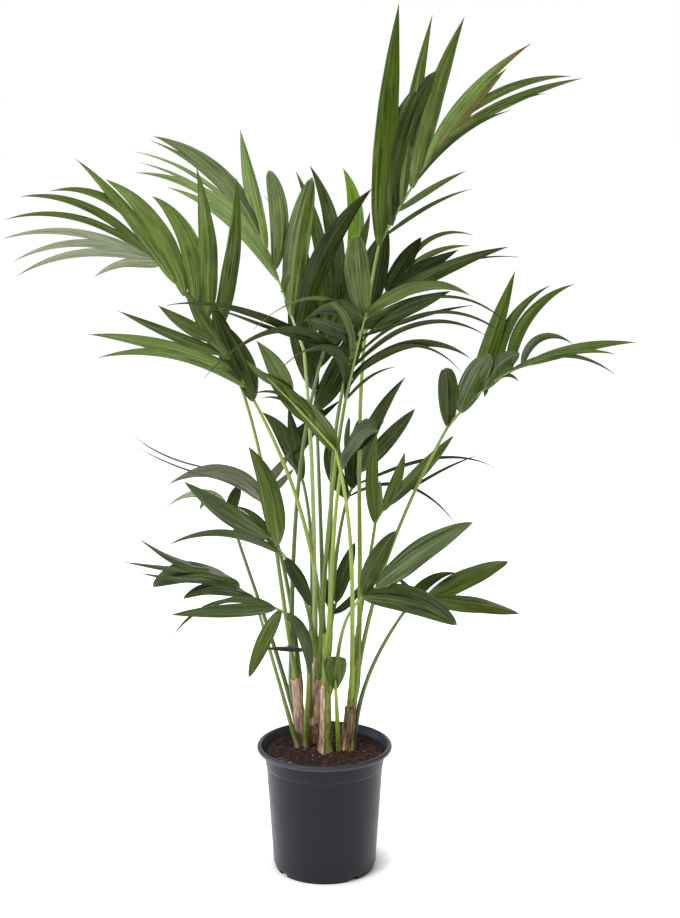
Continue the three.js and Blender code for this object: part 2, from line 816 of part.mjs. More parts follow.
function place(name, body, colour, roughness) {
  const material = new THREE.MeshStandardMaterial({ color: colour, roughness, metalness: 0 });
  const mesh = new THREE.Mesh(geometryOf(body), material);
  mesh.name = name;
  group.add(mesh);
}

place('pot', makePot(), POT_COLOUR, POT_ROUGHNESS);
place('soil', makeSoil(), SOIL_COLOUR, SOIL_ROUGHNESS);
STEMS.forEach((stem) => place(stem.name, makeStem(stem), STEM_COLOUR, STEM_ROUGHNESS));

// What a stalk or a frond is cut clear of: the soil, the stems and the stalks before it.
const groundTop = SOIL_LEVEL + GAP;
const ground = turned([[0, 0], [RIM_RADIUS, 0], [RIM_RADIUS, groundTop], [0, groundTop]]);
const inTheWay = [ground, ...STEMS.map((stem) => makeStem(stem, GAP))];
const cutClear = (body) => mainBody(inTheWay.reduce((left, other) => left.subtract(other), body));

FRONDS.forEach((frond) => {
  const curve = petioleOf(frond, ribOf(frond));
  const radii = [PETIOLE_FOOT_RADIUS, PETIOLE_TIP_RADIUS];
  const stalk = limb(frond, curve, 0, 1, radii, PETIOLE_RINGS, PETIOLE_SIDES);
  place(`petiole_${frond.name}`, cutClear(stalk), PETIOLE_COLOUR, LEAF_ROUGHNESS);
  const grown = radii.map((radius) => radius + GAP);
  inTheWay.push(limb(frond, curve, 0, 1, grown, PETIOLE_RINGS, PETIOLE_SIDES));
});
FRONDS.forEach((frond) => {
  place(`frond_${frond.name}`, cutClear(makeFrond(frond)), FROND_COLOUR, LEAF_ROUGHNESS);
});

export default group;
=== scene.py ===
"""A kentia palm in its round nursery pot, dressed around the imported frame.

The palm's limbs and leaflets grow by the rule of the solids that they stand for: a petiole rises
from a stem or from the soil, carries on as a rib, and the rib holds a fan of leaflets on each side.
The tables give lengths in millimetres and angles in degrees. Meshes are made in millimetres and
brought to the frame's metres when they become pieces.
"""

import logging
import math
import random
from collections.abc import Callable, Sequence
from dataclasses import dataclass
from enum import Enum
from functools import cache
from typing import Protocol

import bmesh
import bpy
from mathutils import Matrix, Vector, noise

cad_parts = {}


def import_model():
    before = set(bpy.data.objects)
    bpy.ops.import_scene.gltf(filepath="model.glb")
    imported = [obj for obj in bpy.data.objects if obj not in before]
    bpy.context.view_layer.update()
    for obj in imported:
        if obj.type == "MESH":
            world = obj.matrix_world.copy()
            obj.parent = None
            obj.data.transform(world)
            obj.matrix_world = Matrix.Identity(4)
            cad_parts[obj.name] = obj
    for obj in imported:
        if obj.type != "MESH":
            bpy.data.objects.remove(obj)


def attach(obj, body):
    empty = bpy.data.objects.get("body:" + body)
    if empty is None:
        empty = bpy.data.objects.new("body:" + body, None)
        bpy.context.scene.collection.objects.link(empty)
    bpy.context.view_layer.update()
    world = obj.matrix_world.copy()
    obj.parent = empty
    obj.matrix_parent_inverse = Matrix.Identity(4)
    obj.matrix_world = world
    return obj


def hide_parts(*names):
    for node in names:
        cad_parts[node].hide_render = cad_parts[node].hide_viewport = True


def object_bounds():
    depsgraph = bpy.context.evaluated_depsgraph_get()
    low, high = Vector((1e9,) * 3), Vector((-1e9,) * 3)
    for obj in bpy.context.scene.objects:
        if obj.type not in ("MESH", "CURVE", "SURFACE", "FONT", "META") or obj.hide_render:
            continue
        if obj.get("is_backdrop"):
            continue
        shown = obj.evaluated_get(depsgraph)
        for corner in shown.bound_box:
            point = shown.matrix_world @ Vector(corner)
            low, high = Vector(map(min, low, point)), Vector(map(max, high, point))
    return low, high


LOG = logging.getLogger("kentia")
MILLIMETRE = 0.001
UP = Vector((0, 0, 1))
GAP = 0.3
SOIL_LEVEL = 212.0

Triple = tuple[float, float, float]
Colour = tuple[float, float, float, float]
Socket = bpy.types.NodeSocket


def paint(code: str) -> Colour:
    """Linear colour of a six-digit display code.

    Args:
        code: Red, green and blue as hexadecimal digits, such as "56782f".

    Returns:
        The colour with an alpha of 1.
    """
    channels = [int(code[place : place + 2], 16) / 255 for place in (0, 2, 4)]
    linear = [c / 12.92 if c <= 0.04045 else ((c + 0.055) / 1.055) ** 2.4 for c in channels]
    return (*linear, 1.0)


def lerp(first: float, second: float, share: float) -> float:
    """Value at a share of the way from the first to the second."""
    return first + (second - first) * share


def spread(values: Sequence[float], share: float) -> float:
    """Value at a share of the way along evenly spaced values.

    Args:
        values: One value or more.
        share: Place from 0, the first value, to 1, the last.

    Returns:
        The value there, on the straight line between its neighbours.
    """
    if len(values) == 1:
        return values[0]
    place = share * (len(values) - 1)
    before = min(int(place), len(values) - 2)
    return lerp(values[before], values[before + 1], place - before)


def smooth(low: float, high: float, value: float) -> float:
    """Soft step from 0 at low to 1 at high."""
    share = min(1.0, max(0.0, (value - low) / (high - low)))
    return share * share * (3 - 2 * share)


def bearing(turn: float) -> Vector:
    """Horizontal direction at an angle in radians from the X axis."""
    return Vector((math.cos(turn), math.sin(turn), 0))


def square_to(along: Vector, direction: Vector) -> Vector:
    """Unit vector nearest to a direction at right angles to another one."""
    return (direction - along * direction.dot(along)).normalized()


# ------------------------------------------------------------------------------ finishes


class Graph:
    """Wires the nodes of one material."""

    def __init__(self, name: str) -> None:
        """Start a material with a surface shader and its output.

        Args:
            name: The material's name.
        """
        self.material = bpy.data.materials.new(name)
        self.material.use_nodes = True
        self.tree = self.material.node_tree
        self.tree.nodes.clear()
        self.shader = self.node("ShaderNodeBsdfPrincipled", {})
        output = self.node("ShaderNodeOutputMaterial", {})
        self.tree.links.new(self.shader.outputs["BSDF"], output.inputs["Surface"])

    def feed(self, socket: Socket, value: object) -> None:
        """Give a socket its value.

        Args:
            socket: The input to feed.
            value: A plain value, a six-digit colour code or another node's output.
        """
        if isinstance(value, Socket):
            self.tree.links.new(value, socket)
        else:
            socket.default_value = paint(value) if isinstance(value, str) else value

    def node(self, kind: str, inputs: dict[str, object], **settings: object) -> bpy.types.Node:
        """Add a node.

        Args:
            kind: The node's type name.
            inputs: Value or output socket for each named input.
            **settings: The node's own properties.

        Returns:
            The node.
        """
        made = self.tree.nodes.new(kind)
        for key, value in settings.items():
            setattr(made, key, value)
        for key, value in inputs.items():
            self.feed(made.inputs[key], value)
        return made

    def attribute(self, name: str, output: str) -> Socket:
        """Output of an attribute that the mesh carries."""
        return self.node("ShaderNodeAttribute", {}, attribute_name=name).outputs[output]

    def place(self) -> Socket:
        """Place on the object, in metres."""
        return self.node("ShaderNodeTexCoord", {}).outputs["Object"]

    def axis(self, vector: Socket, name: str) -> Socket:
        """One axis, X, Y or Z, of a vector."""
        return self.node("ShaderNodeSeparateXYZ", {"Vector": vector}).outputs[name]

    def noise(self, vector: Socket, scale: float | Triple, detail: float) -> Socket:
        """Cloudy noise about 0.5.

        Args:
            vector: Where it is read.
            scale: How fine it is, alike along all axes or for each one.
            detail: How many finer layers it has.

        Returns:
            The noise.
        """
        if isinstance(scale, tuple):
            mapping = self.node("ShaderNodeMapping", {"Vector": vector, "Scale": scale})
            vector, scale = mapping.outputs["Vector"], 1.0
        inputs = {"Vector": vector, "Scale": scale, "Detail": detail}
        return self.node("ShaderNodeTexNoise", inputs).outputs[0]

    def step(self, value: Socket, low: float, high: float) -> Socket:
        """Soft step, which falls when low is above high.

        Args:
            value: What is stepped.
            low: Where the step is 0.
            high: Where the step is 1.

        Returns:
            The step.
        """
        ends = {"From Min": low, "From Max": high, "To Min": 0.0, "To Max": 1.0}
        if low > high:
            ends = {"From Min": high, "From Max": low, "To Min": 1.0, "To Max": 0.0}
        made = self.node("ShaderNodeMapRange", {"Value": value, **ends})
        made.interpolation_type = "SMOOTHSTEP"
        return made.outputs[0]

    def math(self, operation: str, first: object, second: object = 0.0) -> Socket:
        """Result of an arithmetic operation.

        Args:
            operation: The operation's type name.
            first: First operand.
            second: Second operand, where it has one.

        Returns:
            The result.
        """
        made = self.node("ShaderNodeMath", {}, operation=operation)
        self.feed(made.inputs[0], first)
        self.feed(made.inputs[1], second)
        return made.outputs[0]

    def mix(self, share: Socket, first: object, second: object) -> Socket:
        """Colour between two.

        Args:
            share: How much of the second it has.
            first: First colour.
            second: Second colour.

        Returns:
            The colour.
        """
        made = self.node("ShaderNodeMix", {}, data_type="RGBA")
        for place, value in ((0, share), (6, first), (7, second)):
            self.feed(made.inputs[place], value)
        return made.outputs[2]

    def blend(
        self, value: Socket, ends: tuple[float, float], first: object, second: object
    ) -> Socket:
        """Colour that turns from one to another as a value crosses a range.

        Args:
            value: What decides.
            ends: Where it is all the first and all the second colour.
            first: First colour.
            second: Second colour.

        Returns:
            The colour.
        """
        return self.mix(self.step(value, *ends), first, second)

    def bump(self, height: Socket, depth: float, strength: float) -> None:
        """Raise the surface.

        Args:
            height: Relief from 0 to 1.
            depth: What 1 stands for, in metres.
            strength: Share of it that shows.
        """
        inputs = {"Height": height, "Distance": depth, "Strength": strength}
        made = self.node("ShaderNodeBump", inputs)
        self.tree.links.new(made.outputs["Normal"], self.shader.inputs["Normal"])

    def dress(self, **inputs: object) -> bpy.types.Material:
        """Feed the shader.

        Args:
            **inputs: Value of each input, whose name has _ for each space.

        Returns:
            The material.
        """
        for key, value in inputs.items():
            self.feed(self.shader.inputs[key.replace("_", " ")], value)
        return self.material


class Finish(Protocol):
    """What every finish offers."""

    def material(self) -> bpy.types.Material:
        """Build the material."""


@dataclass(frozen=True)
class LeafFinish:
    """A leaflet's skin: parallel veins along the blade, a pale midrib and a paler root."""

    name: str
    blade: str
    vein: str
    furrow: str
    tip: str
    roughness: float
    gloss: float = 0.2
    tip_start: float = 0.955
    vein_grain: Triple = (11.0, 1.0, 0.012)
    furrow_grain: Triple = (2.6, 1.0, 0.006)
    cloud_grain: Triple = (0.8, 1.0, 0.02)
    vein_strength: float = 0.6
    midrib_strength: float = 0.3
    midrib_edges: tuple[float, float] = (0.07, 0.02)
    root_strength: float = 0.45
    root_reach: float = 0.06
    vein_depth: float = 0.0007

    def material(self) -> bpy.types.Material:
        """Build the material, which reads the grain and far attributes.

        Returns:
            The material.
        """
        graph = Graph(self.name)
        grain = graph.attribute("grain", "Vector")
        far = graph.attribute("far", "Fac")
        across = graph.axis(grain, "X")
        fine = graph.noise(grain, self.vein_grain, 2.0)
        broad = graph.noise(grain, self.furrow_grain, 1.0)
        cloud = graph.noise(grain, self.cloud_grain, 2.0)
        colour = graph.blend(broad, (0.4, 0.62), self.furrow, self.blade)
        colour = graph.blend(cloud, (0.35, 0.75), colour, self.blade)
        veins = graph.math("MULTIPLY", graph.step(fine, 0.5, 0.72), self.vein_strength)
        colour = graph.mix(veins, colour, self.vein)
        midrib = graph.step(graph.math("ABSOLUTE", across), *self.midrib_edges)
        colour = graph.mix(graph.math("MULTIPLY", midrib, self.midrib_strength), colour, self.vein)
        root = graph.math("MULTIPLY", graph.step(far, self.root_reach, 0.0), self.root_strength)
        colour = graph.mix(root, colour, self.vein)
        colour = graph.blend(far, (self.tip_start, 1.0), colour, self.tip)
        graph.bump(fine, self.vein_depth, 0.5)
        return graph.dress(Base_Color=colour, Roughness=self.roughness, Specular_IOR_Level=self.gloss)


class LeafTone(Enum):
    """The greens of the leaflets, from young to old, with painted light and shade: the first is a
    painted-lit green, DEEP and SHADE are painted-shade greens for leaflets inside the crown, and
    SUNLIT paints light shining through a blade from behind.
    """

    # Painted light: a lit copy of the leaflet skin.
    FRESH = LeafFinish("leaf_painted_lit", "617732", "93a266", "3f5420", "8a8a58", 0.36)
    MID = LeafFinish("leaf_mid", "4b5b1e", "7c8a52", "2c3c0e", "767648", 0.35)
    # DEEP and SHADE are painted shade: darker copies of the skin for leaflets in the crown's shade.
    DEEP = LeafFinish("leaf_deep", "333f11", "5c6838", "1a2407", "5e6040", 0.34, gloss=0.13)
    SHADE = LeafFinish("leaf_shade", "242e0d", "46502a", "131a05", "4c5034", 0.36, gloss=0.07)
    # Painted light: the bright green of a blade lit from behind.
    SUNLIT = LeafFinish("leaf_sunlit", "557608", "748e24", "374f06", "869a3c", 0.42)
    LUSH = LeafFinish("leaf_lush", "3b4c0e", "62782e", "283a08", "5c6a2c", 0.36, gloss=0.12)
    COOL = LeafFinish("leaf_cool", "445228", "74845e", "2b3817", "6a6e56", 0.32, gloss=0.25)
    GREY = LeafFinish("leaf_grey", "62634e", "84846e", "464836", "78725e", 0.5, gloss=0.1)
    PALE = LeafFinish("leaf_pale", "8b9274", "b0b69a", "6c7658", "8f9078", 0.4)
    # SCORCHED wears the painted-lit green, with a brown tip from two thirds along.
    SCORCHED = LeafFinish(
        "leaf_scorched", "617732", "93a266", "3f5420", "6b4a1c", 0.4, tip_start=0.66
    )
    DRIED = LeafFinish("leaf_dried", "5f602a", "828044", "5a4624", "6f4932", 0.6)


@dataclass(frozen=True)
class StalkFinish:
    """A petiole's or rib's skin: smooth and streaked, with another colour at a sheathed foot."""

    name: str
    stalk: str
    streak: str
    head: str
    foot: str = ""
    foot_reach: float = 0.0
    streak_grain: Triple = (3.5, 3.5, 0.02)
    blotch_grain: Triple = (1.2, 1.2, 0.03)
    streak_strength: float = 0.7
    streak_depth: float = 0.0005

    def material(self) -> bpy.types.Material:
        """Build the material, which reads the grain and far attributes.

        Returns:
            The material.
        """
        graph = Graph(self.name)
        grain = graph.attribute("grain", "Vector")
        far = graph.attribute("far", "Fac")
        streaks = graph.noise(grain, self.streak_grain, 3.0)
        colour = graph.blend(far, (0.35, 0.95), self.stalk, self.head)
        shade = graph.math("MULTIPLY", graph.step(streaks, 0.5, 0.68), self.streak_strength)
        colour = graph.mix(shade, colour, self.streak)
        if self.foot:
            blotch = graph.noise(grain, self.blotch_grain, 2.0)
            ragged = graph.math("MULTIPLY", blotch, self.foot_reach)
            height = graph.math("ADD", graph.axis(graph.place(), "Z"), ragged)
            low = SOIL_LEVEL * MILLIMETRE + 0.5 * self.foot_reach
            colour = graph.blend(height, (low + 0.5 * self.foot_reach, low), colour, self.foot)
        graph.bump(streaks, self.streak_depth, 0.5)
        return graph.dress(Base_Color=colour, Roughness=0.4)


class StalkTone(Enum):
    """The petioles' colours."""

    BRIGHT = StalkFinish("stalk_bright", "869a2c", "60741e", "909e3c", "a8945c", 0.035)
    GREEN = StalkFinish("stalk_green", "6c8024", "4e6218", "7a8e34", "b09a7a", 0.06)
    DULL = StalkFinish("stalk_dull", "57682e", "3f4e22", "62723a", "7d6c4e", 0.035)
    PALE = StalkFinish("stalk_pale", "98a85e", "788a46", "8a9852", "b39c7c", 0.06)


class RibTone(Enum):
    """The ribs' colours, each named as that of the petiole that the rib goes with."""

    BRIGHT = StalkFinish("rib_bright", "8a9a38", "63762a", "82943a")
    GREEN = StalkFinish("rib_green", "7c8e40", "566a2a", "7c8e44")
    DULL = StalkFinish("rib_dull", "586834", "404e24", "5e6e3c")
    PALE = StalkFinish("rib_pale", "96a65c", "748646", "8c9c58")


@dataclass(frozen=True)
class SheathFinish:
    """Dry leaf-base sheath: papery skin with strands that cross it aslant."""

    name: str
    skin: str
    dark: str
    strand: str
    slant: float
    strand_grain: Triple = (4.5, 4.5, 0.05)
    blotch_grain: Triple = (1.3, 1.3, 0.05)
    strand_depth: float = 0.0016

    def material(self) -> bpy.types.Material:
        """Build the material, which reads the grain attribute.

        Returns:
            The material.
        """
        graph = Graph(self.name)
        grain = graph.attribute("grain", "Vector")
        turned = graph.node("ShaderNodeMapping", {"Vector": grain, "Scale": self.strand_grain})
        turned.inputs["Rotation"].default_value = (0.0, math.radians(self.slant), 0.0)
        strands = graph.noise(turned.outputs["Vector"], 1.0, 3.0)
        blotch = graph.noise(grain, self.blotch_grain, 3.0)
        colour = graph.blend(blotch, (0.4, 0.62), self.dark, self.skin)
        colour = graph.blend(strands, (0.55, 0.7), colour, self.strand)
        colour = graph.blend(strands, (0.46, 0.36), colour, self.dark)
        graph.bump(strands, self.strand_depth, 0.9)
        return graph.dress(Base_Color=colour, Roughness=0.85)


class SheathTone(Enum):
    """The colours of the sheaths and of the stems under them."""

    ROSY = SheathFinish("sheath_rosy", "ceac92", "a5806a", "e2ceb6", 8.0)
    BROWN = SheathFinish("sheath_brown", "8f7c50", "5c472d", "cab88c", 34.0)
    STEM = SheathFinish("stem_skin", "8a9a42", "687a32", "a0a860", 0.0)


@dataclass(frozen=True)
class PlasticFinish:
    """Moulded plastic with a faint mottle, fine scuffs and a dusty foot."""

    name: str
    body: str
    scuff: str
    dust: str
    gloss: float = 0.25
    gloss_tint: str = "ebeeff"
    scuff_grain: Triple = (60.0, 60.0, 700.0)
    dust_height: float = 0.03
    dust_strength: float = 0.35
    smoothest: float = 0.26
    mottle_roughness: float = 0.2
    pit_depth: float = 0.0002

    def material(self) -> bpy.types.Material:
        """Build the material on object coordinates.

        Returns:
            The material.
        """
        graph = Graph(self.name)
        place = graph.place()
        height = graph.axis(place, "Z")
        mottle = graph.noise(place, 28.0, 4.0)
        pits = graph.noise(place, 900.0, 2.0)
        scuffs = graph.noise(place, self.scuff_grain, 4.0)
        colour = graph.blend(scuffs, (0.66, 0.8), self.body, self.scuff)
        dusty = graph.math("MULTIPLY", graph.step(height, self.dust_height, 0.0), self.dust_strength)
        colour = graph.mix(graph.math("MULTIPLY", dusty, mottle), colour, self.dust)
        rougher = graph.math("MULTIPLY", mottle, self.mottle_roughness)
        graph.bump(pits, self.pit_depth, 0.35)
        return graph.dress(
            Base_Color=colour,
            Roughness=graph.math("ADD", rougher, self.smoothest),
            Specular_IOR_Level=self.gloss,
            Specular_Tint=self.gloss_tint,
        )


class Plastic(Enum):
    """The pot's outside, the bead of its rim, which is a lighter grey than the body as a painted
    highlight, and its inside.
    """

    BODY = PlasticFinish("pot_plastic", "131113", "1e1d21", "3a3532")
    # The rim's lighter grey stands for light on the bead: a painted highlight.
    RIM = PlasticFinish("pot_rim_painted_highlight", "34363b", "474a50", "4a423c")
    LINING = PlasticFinish("pot_lining", "33313f", "43414e", "4a423c")


@dataclass(frozen=True)
class EarthFinish:
    """Crumbling peat or what lies in it: clods with grit between them, dark in the low places of
    their relief as painted shade.
    """

    name: str
    clod: str
    painted_hollow_shade: str
    grit: str
    scale: float
    clod_depth: float = 0.003

    def material(self) -> bpy.types.Material:
        """Build the material on object coordinates.

        Returns:
            The material.
        """
        graph = Graph(self.name)
        place = graph.place()
        clods = graph.noise(place, self.scale, 5.0)
        grit = graph.noise(place, 5.0 * self.scale, 2.0)
        # Low places of the relief take the dark colour: painted shade in the hollows.
        colour = graph.blend(clods, (0.42, 0.6), self.painted_hollow_shade, self.clod)
        colour = graph.blend(grit, (0.62, 0.75), colour, self.grit)
        graph.bump(clods, self.clod_depth, 0.9)
        return graph.dress(Base_Color=colour, Roughness=0.95)


class Earth(Enum):
    """What the pot is filled with."""

    PEAT = EarthFinish("peat", "341a12", "140905", "54291c", 110.0)
    CRUMB = EarthFinish("peat_crumb", "47251a", "1f0f0a", "6e3f2d", 160.0)
    FIBRE = EarthFinish("peat_fibre", "8a6a4b", "5f4530", "b3936c", 220.0)
    CHIP = EarthFinish("bark_chip", "a98a70", "7a5d48", "cdb59c", 220.0)


@cache
def material_of(finish: Finish) -> bpy.types.Material:
    """Material of a finish, made once and shared by all the pieces that wear it."""
    return finish.material()


# -------------------------------------------------------------------------- making pieces


@dataclass(frozen=True)
class Station:
    """One round section of a limb: its centre, two axes across it, radius and place."""

    centre: Vector
    across: Vector
    normal: Vector
    radius: float
    far: float
    length: float

    def matrix(self) -> Matrix:
        """Matrix that brings a unit circle about the origin to the section.

        Returns:
            The matrix, which keeps lengths along the limb.
        """
        along = self.across.cross(self.normal)
        axes = (self.across * self.radius, self.normal * self.radius, along, self.centre)
        rows = [[axis[place] for axis in axes] for place in range(3)]
        return Matrix([*rows, [0, 0, 0, 1]])

    def turn_of(self, point: Vector) -> float:
        """Angle of a point about the centre, from the across axis to the normal."""
        offset = point - self.centre
        return math.atan2(offset.dot(self.normal), offset.dot(self.across))


class Form:
    """A mesh in the making, in millimetres, with the attributes that the finishes read.

    The grain attribute says where a vertex lies on its limb or leaflet, so that streaks follow
    it, and far says how far along it, from 0 to 1.
    """

    def __init__(self) -> None:
        """Start empty."""
        self.bm = bmesh.new()
        self.grain = self.bm.verts.layers.float_vector.new("grain")
        self.far = self.bm.verts.layers.float.new("far")
        self.finishes: list[Finish] = []

    def sweep(
        self,
        stations: Sequence[Station],
        sides: int,
        finish: Finish,
        relief: Callable[[float, Station], float] | None = None,
    ) -> None:
        """Sweep a round section through the stations and close both ends.

        Args:
            stations: The sections, from one end to the other.
            sides: Vertices round each section.
            finish: What the limb wears.
            relief: Height of the skin over the round section, by angle and station.
        """
        bm = self.bm
        ring = bmesh.ops.create_circle(bm, segments=sides, radius=1.0)["verts"]
        bmesh.ops.transform(bm, matrix=stations[0].matrix(), verts=ring)
        edges = list({edge for vert in ring for edge in vert.link_edges})
        ends = [list(edges)]
        placed = [(vert, stations[0]) for vert in ring]
        faces: list[bmesh.types.BMFace] = []
        for before, after in zip(stations, stations[1:]):
            grown = bmesh.ops.extrude_edge_only(bm, edges=edges)["geom"]
            ring = [item for item in grown if isinstance(item, bmesh.types.BMVert)]
            edges = [item for item in grown if isinstance(item, bmesh.types.BMEdge)]
            faces += [item for item in grown if isinstance(item, bmesh.types.BMFace)]
            step = after.matrix() @ before.matrix().inverted()
            bmesh.ops.transform(bm, matrix=step, verts=ring)
            placed += [(vert, after) for vert in ring]
        ends.append(edges)
        for loop in ends:
            faces += bmesh.ops.contextual_create(bm, geom=loop)["faces"]
        for vert, station in placed:
            turn = station.turn_of(vert.co)
            vert[self.grain] = (math.cos(turn), math.sin(turn), station.length)
            vert[self.far] = station.far
            if relief:
                outward = station.across * math.cos(turn) + station.normal * math.sin(turn)
                vert.co += outward * relief(turn, station)
        self.wear(faces, finish)

    def sheet(
        self,
        columns: int,
        rows: int,
        shape: Callable[[float, float], tuple[Vector, Vector]],
        thickness: float,
        grain: Callable[[float, float], Triple],
        finish: Finish,
    ) -> None:
        """Lay a grid on a curved sheet, give it a back and close its rim.

        Args:
            columns: Faces across the sheet.
            rows: Faces along it.
            shape: Front point and outward direction at a place across, -1 to 1, and far, 0 to 1.
            thickness: Depth of the sheet behind its front.
            grain: Grain at the same place.
            finish: What the sheet wears.
        """
        bm = self.bm
        front = bmesh.ops.create_grid(bm, x_segments=columns, y_segments=rows, size=1.0)["verts"]
        edges = list({edge for vert in front for edge in vert.link_edges})
        faces = list({face for vert in front for face in vert.link_faces})
        outward: dict[bmesh.types.BMVert, Vector] = {}
        for vert in front:
            across, far = vert.co.x, (vert.co.y + 1) / 2
            vert[self.grain] = grain(across, far)
            vert[self.far] = far
            vert.co, outward[vert] = shape(across, far)
        copy = bmesh.ops.duplicate(bm, geom=[*front, *edges, *faces])
        for vert in front:
            copy["vert_map"][vert].co = vert.co - outward[vert] * thickness
        back = [item for item in copy["geom"] if isinstance(item, bmesh.types.BMFace)]
        back_edges = [item for item in copy["geom"] if isinstance(item, bmesh.types.BMEdge)]
        bmesh.ops.reverse_faces(bm, faces=back)
        rim = [edge for edge in [*edges, *back_edges] if edge.is_boundary]
        sides = bmesh.ops.bridge_loops(bm, edges=rim)["faces"]
        self.wear([*faces, *sides, *back], finish)

    def lathe(self, outline: bmesh.types.BMesh, steps: int, start: float, finish: Finish) -> None:
        """Spin an outline that lies in the XZ plane once round Z.

        Args:
            outline: Wire of the profile.
            steps: Faces round the shape.
            start: Angle in degrees at which the first face starts.
            finish: What the shape wears.
        """
        bm = self.bm
        turn = Matrix.Rotation(math.radians(start), 3, "Z")
        corners = {vert: bm.verts.new(turn @ vert.co) for vert in outline.verts}
        edges = [bm.edges.new([corners[vert] for vert in edge.verts]) for edge in outline.edges]
        bmesh.ops.spin(
            bm,
            geom=[*corners.values(), *edges],
            cent=(0, 0, 0),
            axis=(0, 0, 1),
            angle=math.tau,
            steps=steps,
            use_merge=True,
        )
        bmesh.ops.remove_doubles(bm, verts=bm.verts, dist=0.001)
        bmesh.ops.recalc_face_normals(bm, faces=bm.faces)
        self.wear(bm.faces, finish)

    def lump(self, place: Vector, shape: Matrix, fineness: float, raggedness: float) -> None:
        """Add a ragged lump.

        Args:
            place: Its middle.
            shape: Matrix that turns and squashes a unit ball to its shape.
            fineness: How quickly its raggedness changes, per millimetre.
            raggedness: Greatest share of its size that a corner moves in or out.
        """
        matrix = Matrix.Translation(place) @ shape
        ball = bmesh.ops.create_icosphere(self.bm, subdivisions=1, radius=1.0, matrix=matrix)
        for vert in ball["verts"]:
            vert.co += (vert.co - place) * noise.noise(vert.co * fineness) * raggedness

    def wear(self, faces: Sequence[bmesh.types.BMFace], finish: Finish) -> None:
        """Give faces a finish and soft shading.

        Args:
            faces: The faces.
            finish: What they wear.
        """
        if finish not in self.finishes:
            self.finishes.append(finish)
        for face in faces:
            face.material_index = self.finishes.index(finish)
            face.smooth = True

    def piece(self, name: str, slot: str, replaces: Sequence[str] = ()) -> bpy.types.Object:
        """Finish the mesh as an object that rides with the plant.

        Args:
            name: The piece's name.
            slot: Name of the record's material slot; the piece is not put in it, and the name is only
                logged.
            replaces: Nodes that it stands for.

        Returns:
            The object, at the origin, in metres.
        """
        bmesh.ops.scale(self.bm, vec=[MILLIMETRE] * 3, verts=self.bm.verts)
        mesh = bpy.data.meshes.new(name)
        self.bm.to_mesh(mesh)
        self.bm.free()
        for finish in self.finishes:
            mesh.materials.append(material_of(finish))
        made = bpy.data.objects.new(name, mesh)
        bpy.context.scene.collection.objects.link(made)
        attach(made, "root")
        if replaces:
            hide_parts(*replaces)
        LOG.info("%s: %d faces, %s", name, len(mesh.polygons), slot)
        return made


def wire(points: Sequence[tuple[float, ...]]) -> bmesh.types.BMesh:
    """Open outline in the XZ plane with some of its corners rounded.

    Args:
        points: Radius and height of each corner and, where it's rounded, the length that this
            cuts from its edges.

    Returns:
        The outline.
    """
    bm = bmesh.new()
    corners = [bm.verts.new((radius, 0.0, height)) for radius, height, *_ in points]
    for first, second in zip(corners, corners[1:]):
        bm.edges.new((first, second))
    for corner, (_, _, *rounding) in zip(corners, points):
        for cut in rounding:
            bmesh.ops.bevel(
                bm,
                geom=[corner],
                offset=cut,
                affect="VERTICES",
                segments=4,
                profile=0.5,
                material=-1,
            )
    return bm


# --------------------------------------------------------------------------- pot and soil


